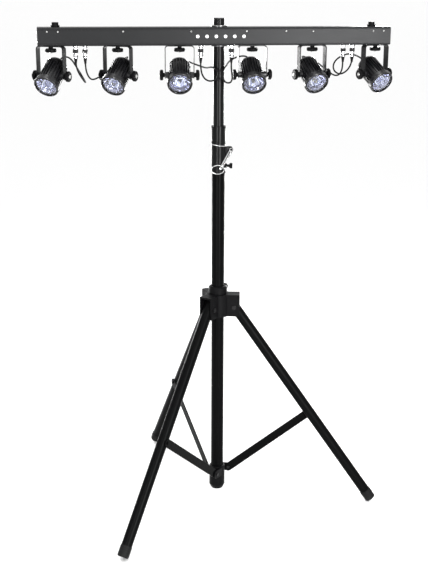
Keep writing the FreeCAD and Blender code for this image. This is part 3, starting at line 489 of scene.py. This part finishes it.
def emitter(name):
    """Phosphor domes of the light source, unlit."""
    s = Shader(name)
    grain = s.noise(900.0, 3.0)
    s.set(
        Base_Color=s.ramp(grain, ((0.3, (0.86, 0.72, 0.28)), (0.7, (0.95, 0.85, 0.45)))),
        Roughness=s.span(grain, 0.2, 0.35),
        Coat_Weight=0.6,
    )
    return s.bump((grain, 0.15, 0.00005))


def make_materials():
    return {
        "painted_steel": powder_coat("painted_steel", (0.0016, 0.0017, 0.0018), 0.24, 0.035),
        "mast_paint": powder_coat("mast_paint", (0.003, 0.003, 0.0033), 0.2, 0.12),
        "leg_paint": powder_coat("leg_paint", (0.0018, 0.0019, 0.002), 0.3, 0.035),
        "cast_black": moulded("cast_black", (0.003, 0.003, 0.0033), 0.4, 900.0, 0.00012),
        "nylon_bush": moulded("nylon_bush", (0.09, 0.09, 0.088), 0.5),
        "black_plastic": moulded("black_plastic", (0.003, 0.003, 0.0033), 0.36),
        "rubber_foot": rubber("rubber_foot", (0.0035, 0.0035, 0.0036), 0.02),
        "bright_steel": plated("bright_steel", (0.55, 0.55, 0.54), 0.28),
        "black_steel": powder_coat("black_steel", (0.005, 0.005, 0.0054), 0.26, 0.2),
        "chrome_wire": plated("chrome_wire", (0.8, 0.8, 0.8), 0.12),
        "bar_paint": bar_paint(),
        "sleeve_steel": plated("sleeve_steel", (0.06, 0.06, 0.062), 0.3),
        "chrome_socket": plated("chrome_socket", (0.5, 0.5, 0.51), 0.12, 700.0),
        "circuit_board": circuit_board(),
        "yoke_paint": powder_coat("yoke_paint", (0.004, 0.004, 0.0045), 0.3, 0.16),
        "barrel_black": barrel_finish(),
        "clear_lens": glass("clear_lens", (0.84, 0.88, 1.0), 0.0004),
        "cord_jacket": rubber("cord_jacket", (0.002, 0.002, 0.0022)),
        "reflector": plated("reflector", (0.5, 0.5, 0.58), 0.06),
        "emitter": emitter("emitter"),
        "print_white": printed("print_white", (0.8, 0.8, 0.8)),
        # Dark black for the bar's seams and the lens ring, also used as painted shade for the screws' cross recesses.
        "seam_black_and_recess_shade": powder_coat("seam_black_and_recess_shade", (0.003, 0.003, 0.0035), 0.3, 0.2),
    }


def dress_nodes(materials):
    slots = {part["node"]: part["material_slot"] for part in frame["record"]["subparts"]}
    for name, thing in nodes.items():
        thing.data.materials.clear()
        finish = FINISHES.get(name, slots[name])
        thing.data.materials.append(materials[finish])


# ---------------------------------------------------------------- making pieces


def finish_piece(thing, body, slot, material):
    thing.data.materials.append(MATERIALS[material])
    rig.ride(thing, body)
    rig.slot(thing, slot)
    return thing


def mesh_piece(name, form, body, slot, material=None, bevel=0.0, levels=0, smooth=40.0):
    """A mesh from a bmesh, with softened edges and smooth shading."""
    data = bpy.data.meshes.new(name)
    bmesh.ops.recalc_face_normals(form, faces=form.faces)
    form.to_mesh(data)
    form.free()
    data.shade_smooth()
    data.set_sharp_from_angle(angle=math.radians(smooth))
    thing = bpy.data.objects.new(name, data)
    scene.collection.objects.link(thing)
    if bevel:
        edge = thing.modifiers.new("bevel", "BEVEL")
        edge.width, edge.segments, edge.limit_method = bevel, 2, "ANGLE"
        edge.angle_limit = math.radians(35.0)
    if levels:
        thing.modifiers.new("subdivide", "SUBSURF").levels = levels
        thing.modifiers["subdivide"].render_levels = levels
    return finish_piece(thing, body, slot, material or slot)


def frame_at(centre, axis, side=None):
    """A matrix whose Z is the axis, at the centre."""
    z = Vector(axis).normalized()
    x = Vector(side).normalized() if side else z.orthogonal().normalized()
    y = z.cross(x).normalized()
    x = y.cross(z).normalized()
    return Matrix.Translation(centre) @ Matrix((x, y, z)).transposed().to_4x4()


def lathe(form, profile, place, segments=48, wobble=None):
    """Turn a profile of (radius, height) about a matrix's Z axis. wobble(angle, radius) scales the radius."""
    rings = []
    for radius, height in profile:
        if radius < 1e-7:
            rings.append([form.verts.new(place @ Vector((0, 0, height)))])
            continue
        ring = []
        for n in range(segments):
            angle = math.tau * n / segments
            here = radius * (wobble(angle, radius) if wobble else 1.0)
            spot = Vector((here * math.cos(angle), here * math.sin(angle), height))
            ring.append(form.verts.new(place @ spot))
        rings.append(ring)
    following = rings[1:] if len(rings[0]) == 1 or len(rings[-1]) == 1 else rings[1:] + rings[:1]
    for low, high in zip(rings, following):
        for n in range(segments):
            m = (n + 1) % segments
            if len(low) == 1:
                form.faces.new((low[0], high[n], high[m]))
            elif len(high) == 1:
                form.faces.new((low[n], low[m], high[0]))
            else:
                form.faces.new((low[n], low[m], high[m], high[n]))
    return form


def in_mm(*points):
    """A profile of (radius, height) given in millimetres."""
    return [(radius * MM, height * MM) for radius, height in points]


def top_of(node):
    """A matrix on the column's axis, at the top of a node."""
    _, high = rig.box(node)
    return frame_at(Vector((0, 0, high.z)), (0, 0, 1))


def slab(form, size, place):
    """A box of a size about a matrix's origin."""
    scale = Matrix.Diagonal((*size, 1.0))
    bmesh.ops.create_cube(form, size=1.0, matrix=place @ scale)
    return form


def wire(name, points, radius, body, slot, closed=False, order=4):
    """A bent wire: a smooth curve with a round section."""
    data = bpy.data.curves.new(name, "CURVE")
    data.dimensions = "3D"
    data.bevel_depth, data.bevel_resolution, data.resolution_u = radius, 4, 8
    data.use_fill_caps = True
    line = data.splines.new("NURBS")
    line.points.add(len(points) - 1)
    for point, at in zip(line.points, points):
        point.co = (*at, 1.0)
    line.order_u = order
    line.use_cyclic_u = closed
    line.use_endpoint_u = not closed
    thing = bpy.data.objects.new(name, data)
    scene.collection.objects.link(thing)
    return finish_piece(thing, body, slot, slot)


# ---------------------------------------------------------------- heads

STEEPEST_TILT = 60.0    # degrees below level, where a head points at the end of its tilt
# The emitter's domes: how many, the ring they sit on and the first one's angle.
CHIPS, CHIP_RING, FIRST_CHIP = 4, 0.0034, 0.4
# The reflector's facets: half their number, their share of the radius, and where they reach full depth.
FACETS, FACET_DEPTH, FACET_FADE = 6.0, 0.06, 0.02
BEZEL_GRIPS = 12
GRIP_SIZE = (0.0018, 0.0052, 0.0122)
GRIP_PLACE = (0.0353, 0, 0.0372)
KNOB_FACE = 0.0563      # from the middle of the head to a tilt knob's outer face


def head_place(n):
    """The barrel's own axes: X along the tilt pins, Z the way it looks, origin on the tilt axis."""
    joint = joints[f"tilt_{n}"]
    across = Vector(joint["axis"])
    tilt = math.radians(STEEPEST_TILT - joint["range_deg"][1])
    level = Vector((across.y, -across.x, 0.0))
    look = level * math.cos(tilt) - Vector((0, 0, 1)) * math.sin(tilt)
    return frame_at(joint["pos_m"], look, across)


def facets(angle, radius):
    """How far the reflector's faceted wall draws in, less near its root."""
    return 1.0 - FACET_DEPTH * abs(math.sin(angle * FACETS)) * min(1.0, radius / FACET_FADE)


def light_engine(n):
    """The faceted bright bowl behind the lens, the emitter at its root and the clear collimator over it."""
    place = head_place(n)
    body = f"barrel_{n}"

    bowl = in_mm(
        (7.5, 0.4), (9.5, 3.0), (12.5, 8.5), (16.0, 15.0), (19.5, 21.5), (22.6, 27.0), (26.0, 32.5),
        (29.6, 38.2), (29.9, 38.0), (26.2, 32.0), (22.9, 27.0), (19.9, 21.2), (7.7, 0.2),
    )
    form = lathe(bmesh.new(), bowl, place, 72, facets)
    mesh_piece(f"reflector_{n}", form, body, "chrome_socket", "reflector", smooth=25.0)

    form = bmesh.new()
    dome = [(0.0026, 0.0), (0.0026, 0.0006), (0.0023, 0.0016), (0.0014, 0.0024), (0.0, 0.0027)]
    for turn in range(CHIPS):
        angle = math.tau * turn / CHIPS + FIRST_CHIP
        seat = Matrix.Translation((CHIP_RING * math.cos(angle), CHIP_RING * math.sin(angle), 0.0002))
        lathe(form, dome, place @ seat, 20)
    mesh_piece(f"emitter_{n}", form, body, "clear_lens", "emitter")

    cone = in_mm(
        (0, 5.0), (5.0, 5.0), (7.6, 9.0), (11.0, 17.0), (14.5, 25.5), (16.5, 32.0),
        (16.2, 33.0), (12.0, 34.4), (6.0, 35.4), (0, 35.8),
    )
    form = lathe(bmesh.new(), cone, place, 64)
    mesh_piece(f"collimator_{n}", form, body, "clear_lens", smooth=30.0)


def bezel_ring(n):
    """The thin dark edge round the lens and the grips round the bezel."""
    place = head_place(n)
    edge = in_mm((31.4, 45.7), (33.6, 45.7), (33.4, 46.4), (32.4, 46.9), (31.5, 46.5))
    form = lathe(bmesh.new(), edge, place, 72)
    mesh_piece(f"lens_ring_{n}", form, f"barrel_{n}", "barrel_black", "seam_black_and_recess_shade")
    form = bmesh.new()
    for turn in range(BEZEL_GRIPS):
        angle = math.tau * turn / BEZEL_GRIPS
        slab(form, GRIP_SIZE, place @ Matrix.Rotation(angle, 4, "Z") @ Matrix.Translation(GRIP_PLACE))
    mesh_piece(f"bezel_grips_{n}", form, f"barrel_{n}", "barrel_black", bevel=0.0006)


def knob_caps(n):
    """Screw heads in the outer faces of the tilt knobs and under the pan knob."""
    place = head_place(n)
    socket_head = [
        (0.0, -0.001), (0.0052, -0.001), (0.0052, 0.0008), (0.0044, 0.0016), (0.0022, 0.0017),
        (0.0018, 0.0007), (0.0, 0.0007),
    ]
    form = bmesh.new()
    for side in (-1, 1):
        turned = Matrix.Rotation(side * math.pi / 2, 4, "Y")
        lathe(form, socket_head, place @ turned @ Matrix.Translation((0, 0, KNOB_FACE - 0.0002)), 30)
    mesh_piece(f"tilt_screws_{n}", form, f"tilt_knobs_{n}", "bright_steel", bevel=0.0002)

    pan_axis = joints[f"pan_knob_{n}_turn"]["pos_m"]
    low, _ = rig.box(f"pan_knob_{n}")
    seat = frame_at(Vector((pan_axis[0], pan_axis[1], low.z)), (0, 0, -1))
    flat_head = [(0.0, -0.001), (0.0048, -0.001), (0.0048, 0.001), (0.004, 0.0018), (0.0, 0.0019)]
    form = lathe(bmesh.new(), flat_head, seat, 32)
    mesh_piece(f"pan_screw_{n}", form, f"pan_knob_{n}", "bright_steel", bevel=0.0002)


# ---------------------------------------------------------------- light bar

SEAM_INSET = 0.0068             # from the bar's top or bottom to its cover's folded edge
SEAM_DEPTH, SEAM_HEIGHT = 0.0009, 0.0012
SAME_SCREW = 0.006              # corners nearer than this along the bar belong to one screw
END_SCREW_INSET = 0.012
DOTS, FIRST_DOT, DOT_PITCH = 6, -0.064, 0.0262
KNURLS, KNURL_HEIGHT = 48, 0.03


def bar_seams():
    """The cover's folded edges, which stand a little proud along the front and the back."""
    low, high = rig.box("bar_housing")
    length = high.x - low.x
    middle = (low.x + high.x) / 2
    form = bmesh.new()
    for y in (low.y, high.y):
        for z in (low.z + SEAM_INSET, high.z - SEAM_INSET):
            slab(form, (length, SEAM_DEPTH, SEAM_HEIGHT), Matrix.Translation((middle, y, z)))
    mesh_piece("bar_seams", form, "light_bar", "bar_paint", "seam_black_and_recess_shade", bevel=0.0003)


def screw_middles(corners):
    """The middle of each screw in x and z, from the corners of all of them."""
    screws = []
    for corner in corners:
        for first_x, found in screws:
            if abs(first_x - corner.x) < SAME_SCREW:
                found.append(corner)
                break
        else:
            screws.append((corner.x, [corner]))
    for _, found in screws:
        x = (min(c.x for c in found) + max(c.x for c in found)) / 2
        z = (min(c.z for c in found) + max(c.z for c in found)) / 2
        yield x, z


def bar_screw_heads():
    """Cross-head screws in place of the plain CAD ones, with dark crosses of painted shade on their heads for the
    shade in the cross recesses.
    """
    low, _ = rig.box("bar_housing")
    corners = [vertex.co.copy() for vertex in nodes["bar_screws"].data.vertices]
    pan_head = [(0.0024, -0.0004), (0.0024, 0.0003), (0.0021, 0.0009), (0.0013, 0.0013), (0.0, 0.0014)]
    form, cross = bmesh.new(), bmesh.new()
    for x, z in screw_middles(corners):
        seat = frame_at(Vector((x, low.y, z)), (0, -1, 0))
        lathe(form, pan_head, seat, 32)
        # Dark crosses of painted shade, laid on each head where the shade of its cross recess falls.
        for turn in (0, math.pi / 2):
            # No two screws were driven to the same angle.
            spin = Matrix.Rotation(turn + x * 7, 4, "Z") @ Matrix.Translation((0, 0, 0.0013))
            slab(cross, (0.0024, 0.0006, 0.0005), seat @ spin)
    heads = mesh_piece("bar_screw_heads", form, "light_bar", "bright_steel")
    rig.replaces(heads, "bar_screws")
    mesh_piece("bar_screw_slot_shade", cross, "light_bar", "bar_paint", "seam_black_and_recess_shade")


def end_cap_screws():
    low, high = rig.box("bar_housing")
    left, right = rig.box("bar_end_caps")
    dished_head = [(0.0036, -0.0005), (0.0036, 0.0003), (0.003, 0.0011), (0.0012, 0.0014), (0.0, 0.0006)]
    form = bmesh.new()
    for x, out in ((left.x, -1), (right.x, 1)):
        for y in (low.y + END_SCREW_INSET, high.y - END_SCREW_INSET):
            for z in (low.z + END_SCREW_INSET, high.z - END_SCREW_INSET):
                lathe(form, dished_head, frame_at(Vector((x, y, z)), (out, 0, 0)), 24)
    mesh_piece("end_cap_screws", form, "light_bar", "bright_steel")


def bar_dots():
    """A plain generic graphic: a row of round dots."""
    low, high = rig.box("bar_housing")
    face = low.y - 0.00025
    dot = [(0.0, 0.0), (0.0046, 0.0), (0.0046, 0.0003), (0.0, 0.0003)]
    form = bmesh.new()
    for n in range(DOTS):
        seat = frame_at(Vector((FIRST_DOT + n * DOT_PITCH, face, (low.z + high.z) / 2)), (0, -1, 0))
        lathe(form, dot, seat, 32)
    mesh_piece("bar_dots", form, "light_bar", "bar_paint", "print_white")


def mast_flange():
    """The pressed washer where the mast comes out of the bar's top."""
    washer = in_mm((16.4, -0.4), (16.4, 1.2), (17.4, 1.8), (21.0, 1.4), (23.6, 0.4), (23.6, -0.4))
    form = lathe(bmesh.new(), washer, top_of("mast_sleeve"), 64)
    mesh_piece("mast_washer", form, "light_bar", "sleeve_steel", "bright_steel")


def knurl(angle, radius):
    return 1.0 + (KNURL_HEIGHT if int(angle / math.tau * KNURLS) % 2 else 0.0)


def connector_rings():
    """Knurled rings and rear boots of the six cord connectors."""
    low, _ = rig.box("cord_connectors")
    grip = in_mm((6.4, 14.0), (7.3, 14.5), (7.3, 23.5), (6.4, 24.0))
    band = in_mm((6.4, 3.0), (6.9, 3.4), (6.9, 5.6), (6.4, 6.0))
    boot = in_mm(
        (0.0, 0.5), (5.6, 0.5), (5.4, -1.5), (4.6, -4.0), (4.2, -7.0), (3.4, -12.0), (2.9, -16.0),
        (0.0, -16.2),
    )
    form, boots = bmesh.new(), bmesh.new()
    for route, _ in CORDS:
        seat = frame_at(Vector((route[0][0] * MM, 0, low.z)), (0, 0, 1))
        lathe(form, grip, seat, 96, knurl)
        lathe(form, band, seat, 64)
        lathe(boots, boot, seat, 40)
    mesh_piece("connector_knurls", form, "light_bar", "chrome_socket", "black_steel", smooth=20.0)
    mesh_piece("connector_boots", boots, "light_bar", "cord_jacket")


# ---------------------------------------------------------------- stand

LEG_LEAN = 34.9                 # degrees from upright
FOOT_RIBS = (0.7285, 0.7345, 0.7405)    # their places along the leg from its pivot
RING_RADIUS, RING_HEIGHT, RING_SLOPE = 0.0232, 0.0815, 0.145
LOOP_CENTRE = (-0.005, -0.0247, 0.0125)
LOOP_WIDE, LOOP_TALL, LOOP_LEAN = 0.0195, 0.0135, 0.0006
LUG_RIVETS = ((0.0262, 1.1065), (0.0262, 1.0905))


def collar_details():
    """The wire ring round the collar, the loop on the safety pin and the rivets of the collar's lug."""
    low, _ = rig.box("mast_collar")
    ring = []
    for n in range(16):
        angle = math.tau * n / 16
        x, y = RING_RADIUS * math.cos(angle), RING_RADIUS * math.sin(angle)
        ring.append((x, y, low.z + RING_HEIGHT - x * RING_SLOPE))
    wire("collar_ring", ring, 0.0011, "column", "chrome_wire", closed=True)

    middle_x, middle_y, above = LOOP_CENTRE
    loop = []
    for n in range(12):
        angle = math.tau * n / 12
        across, along = math.cos(angle), math.sin(angle)
        height = low.z + above + LOOP_TALL * along
        loop.append((middle_x + LOOP_WIDE * across, middle_y - LOOP_LEAN * along, height))
    wire("pin_loop", loop, 0.0009, "safety_pin", "chrome_wire", closed=True)

    form = bmesh.new()
    for x, z in LUG_RIVETS:
        seat = frame_at(Vector((x, -0.0025, z)), (0, -1, 0))
        lathe(form, [(0.0034, -0.0004), (0.0034, 0.0006), (0.0026, 0.0016), (0.0, 0.002)], seat, 24)
    mesh_piece("lug_rivets", form, "column", "bright_steel", "black_steel")


def hub_lips():
    """Rolled rings on top of the two hubs."""
    lower = in_mm((19.3, -0.5), (24.1, -0.5), (24.1, 1.0), (22.6, 2.4), (20.2, 3.0), (19.3, 2.6))
    form = lathe(bmesh.new(), lower, top_of("lower_hub"), 64)
    mesh_piece("lower_hub_lip", form, "column", "cast_black")
    upper = in_mm((19.5, -0.5), (25.0, -0.5), (25.2, 0.8), (23.8, 1.8), (20.6, 2.2), (19.5, 1.6))
    form = lathe(bmesh.new(), upper, top_of("leg_hub"), 64)
    mesh_piece("leg_hub_lip", form, "leg_hub", "cast_black")


def leg_place(n):
    """Each leg's own axes: Z along the leg down to its foot, X outwards, origin at its pivot."""
    joint = joints[f"leg_{n}_pivot"]
    across = Vector(joint["axis"])
    out = Vector((across.y, -across.x, 0.0))
    lean = math.radians(LEG_LEAN)
    down = out * math.sin(lean) - Vector((0, 0, 1)) * math.cos(lean)
    return frame_at(Vector(joint["pos_m"]), down, across)


def foot_ribs(n):
    """Moulded ribs round each foot's cup and the plug in each leg's top."""
    place = leg_place(n)
    rib = [(0.0168, -0.0011), (0.0174, -0.0008), (0.0176, 0.0), (0.0174, 0.0008), (0.0168, 0.0011)]
    form = bmesh.new()
    for along in FOOT_RIBS:
        lathe(form, rib, place @ Matrix.Translation((0, 0, along)), 56)
    mesh_piece(f"foot_ribs_{n}", form, f"leg_{n}", "rubber_foot")
    plug = in_mm((0, 8.0), (14.2, 8.0), (14.2, 0.0), (15.7, 0.0), (15.6, -1.0), (13.6, -2.0), (0, -2.4))
    form = lathe(bmesh.new(), plug, place @ Matrix.Translation((0, 0, -0.02)), 48)
    mesh_piece(f"leg_plug_{n}", form, f"leg_{n}", "black_plastic")


# ---------------------------------------------------------------- cords

CORD_DIAMETER = 0.0046
# The share of a cord, from its connector, that follows its head's pan. The rest follows the tilt.
PAN_SHARE = 0.55

# Each cord's route from its connector, in millimetres, then its length in metres.
CORDS = (
    (((-404, 0, 1366), (-404, 0, 1348), (-399, 2, 1329), (-389, 9, 1311), (-380, 23, 1298), (-377, 42, 1294),
      (-382, 60, 1303), (-392, 70, 1320), (-403, 76, 1338), (-414, 77, 1356), (-428, 69, 1366),
      (-443.9, 52.9, 1363.8), (-449.1, 43.1, 1355.2)), 0.2376),
    (((-377.5, 0, 1366), (-377.5, 0, 1349), (-376, 1, 1331), (-370, 8, 1314), (-361, 23, 1304),
      (-349, 42, 1304), (-333, 62, 1311), (-314, 79, 1322), (-295, 90, 1334), (-278, 93, 1348),
      (-262, 86, 1358), (-255, 72, 1364), (-256.5, 53.8, 1361.7), (-262, 43.9, 1353.4)), 0.2643),
    (((-52, 0, 1366), (-52, 0, 1352), (-52, -2, 1337), (-50, -9, 1321), (-44, -21, 1308), (-31, -33, 1301),
      (-15, -40, 1306), (-5, -37, 1321), (-10, -28, 1335), (-22, -13, 1340), (-28, 7, 1337), (-30, 29, 1334),
      (-37, 51, 1334), (-47, 72, 1337), (-63, 86, 1342), (-82, 90, 1350), (-98, 81, 1357),
      (-106.6, 65.6, 1355), (-107.6, 53.5, 1348)), 0.3349),
    (((36, 0, 1366), (36, 0, 1352), (35.5, -3, 1337), (36, -12, 1321), (36, -23, 1306.5), (28.5, -34, 1296),
      (12.5, -41, 1298.5), (4.5, -42, 1314), (7, -35, 1329), (14, -21, 1340), (24, 5, 1343), (28, 26, 1345),
      (34, 47, 1347), (41, 68, 1350), (54, 84, 1356), (72, 88, 1362), (88, 79, 1364),
      (95.2, 63, 1359.5), (95.4, 51.4, 1351.7)), 0.3319),
    (((361.5, 0, 1366), (361.5, 0, 1346), (361, 4, 1327), (356, 15, 1312), (346, 31, 1309), (333, 49, 1318),
      (320, 66, 1330), (306, 82, 1343), (290, 92, 1353), (271, 92, 1359), (259, 80, 1362),
      (256, 62.1, 1358.4), (258.6, 50.7, 1350.8)), 0.2383),
    (((388, 0, 1366), (388, 0, 1352), (384, 4, 1336), (374, 12, 1321), (359, 21, 1313), (345, 32, 1321),
      (343, 43, 1337), (354, 55, 1352), (373, 66, 1363), (394, 74, 1369), (415, 74, 1366),
      (431.9, 59.8, 1357.3), (436.3, 48.8, 1349.9)), 0.2329),
)


def route_line(points):
    """Points along the smooth spline that has the route's points as its control points."""
    data = bpy.data.curves.new("route", "CURVE")
    data.dimensions = "3D"
    data.resolution_u = 12
    spline = data.splines.new("NURBS")
    spline.points.add(len(points) - 1)
    for point, at in zip(spline.points, points):
        point.co = (*[value * MM for value in at], 1.0)
    spline.order_u = 3
    spline.use_endpoint_u = True
    thing = bpy.data.objects.new("route", data)
    scene.collection.objects.link(thing)
    made = bpy.data.meshes.new_from_object(thing)
    line = [vertex.co.copy() for vertex in made.vertices]
    bpy.data.objects.remove(thing)
    bpy.data.meshes.remove(made)
    return line


def tube_form(line, radius, sides=14):
    """A closed round tube along a line of points."""
    form = bmesh.new()
    rings = []
    across = (line[1] - line[0]).orthogonal()
    for n, at in enumerate(line):
        along = (line[min(n + 1, len(line) - 1)] - line[max(n - 1, 0)]).normalized()
        across = (across - along * across.dot(along)).normalized()
        side = along.cross(across)
        turns = [math.tau * m / sides for m in range(sides)]
        spots = [at + (across * math.cos(turn) + side * math.sin(turn)) * radius for turn in turns]
        rings.append([form.verts.new(spot) for spot in spots])
    for low, high in zip(rings, rings[1:]):
        for n in range(sides):
            m = (n + 1) % sides
            form.faces.new((low[n], low[m], high[m], high[n]))
    form.faces.new(rings[0])
    form.faces.new(rings[-1])
    return form


def line_length(line):
    return sum((there - here).length for here, there in zip(line, line[1:]))


def cord_piece(name, line, length, bodies):
    """A stretch of cord that bends between two bodies as their joint moves."""
    data = bpy.data.meshes.new(name)
    form = tube_form(line, CORD_DIAMETER / 2)
    bmesh.ops.recalc_face_normals(form, faces=form.faces)
    form.to_mesh(data)
    form.free()
    data.shade_smooth()
    cord = bpy.data.objects.new(name, data)
    scene.collection.objects.link(cord)
    data.materials.append(MATERIALS["cord_jacket"])
    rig.blend(cord, *bodies, start=line[0], end=line[-1])
    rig.slot(cord, "cord_jacket")
    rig.replaces(cord, "head_cords")
    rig.cord(
        cord,
        exit=line[0],
        length=length,
        diameter=CORD_DIAMETER,
        far_end="object",
        stiffness="limp",
        lay="hanging",
        path=line,
    )


def add_cords():
    """Each cord in two stretches: one follows its head's pan, the other its tilt."""
    for n, (route, length) in enumerate(CORDS, start=1):
        line = route_line(route)
        whole = line_length(line)
        split = next(m for m in range(len(line)) if line_length(line[: m + 1]) > whole * PAN_SHARE)
        first, second = line[: split + 1], line[split:]
        for side, stretch, bodies in (
            ("bar_side", first, ("light_bar", f"yoke_{n}")),
            ("head_side", second, (f"yoke_{n}", f"barrel_{n}")),
        ):
            cord_piece(f"cord_{n}_{side}", stretch, length * line_length(stretch) / whole, bodies)


# ---------------------------------------------------------------- everything


def make_floor():
    """A plain pale floor that reaches past every view's horizon."""
    form = bmesh.new()
    bmesh.ops.create_grid(form, x_segments=2, y_segments=2, size=FLOOR_REACH)
    data = bpy.data.meshes.new("floor")
    form.to_mesh(data)
    form.free()
    floor = bpy.data.objects.new("floor", data)
    scene.collection.objects.link(floor)
    data.materials.append(printed("floor_white", FLOOR_COLOUR))
    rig.stage(floor)


make_camera()
light_scene()
MATERIALS = make_materials()
dress_nodes(MATERIALS)
add_cords()
for head in HEADS:
    light_engine(head)
    bezel_ring(head)
    knob_caps(head)
bar_seams()
bar_screw_heads()
end_cap_screws()
bar_dots()
mast_flange()
connector_rings()
collar_details()
hub_lips()
for leg in LEGS:
    foot_ribs(leg)

make_floor()

with open("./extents.json", "w") as sizes:
    boxes = {"cad": (cad_low, cad_high), "visual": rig.bounds()}
    json.dump({name: [list(low), list(high)] for name, (low, high) in boxes.items()}, sizes)
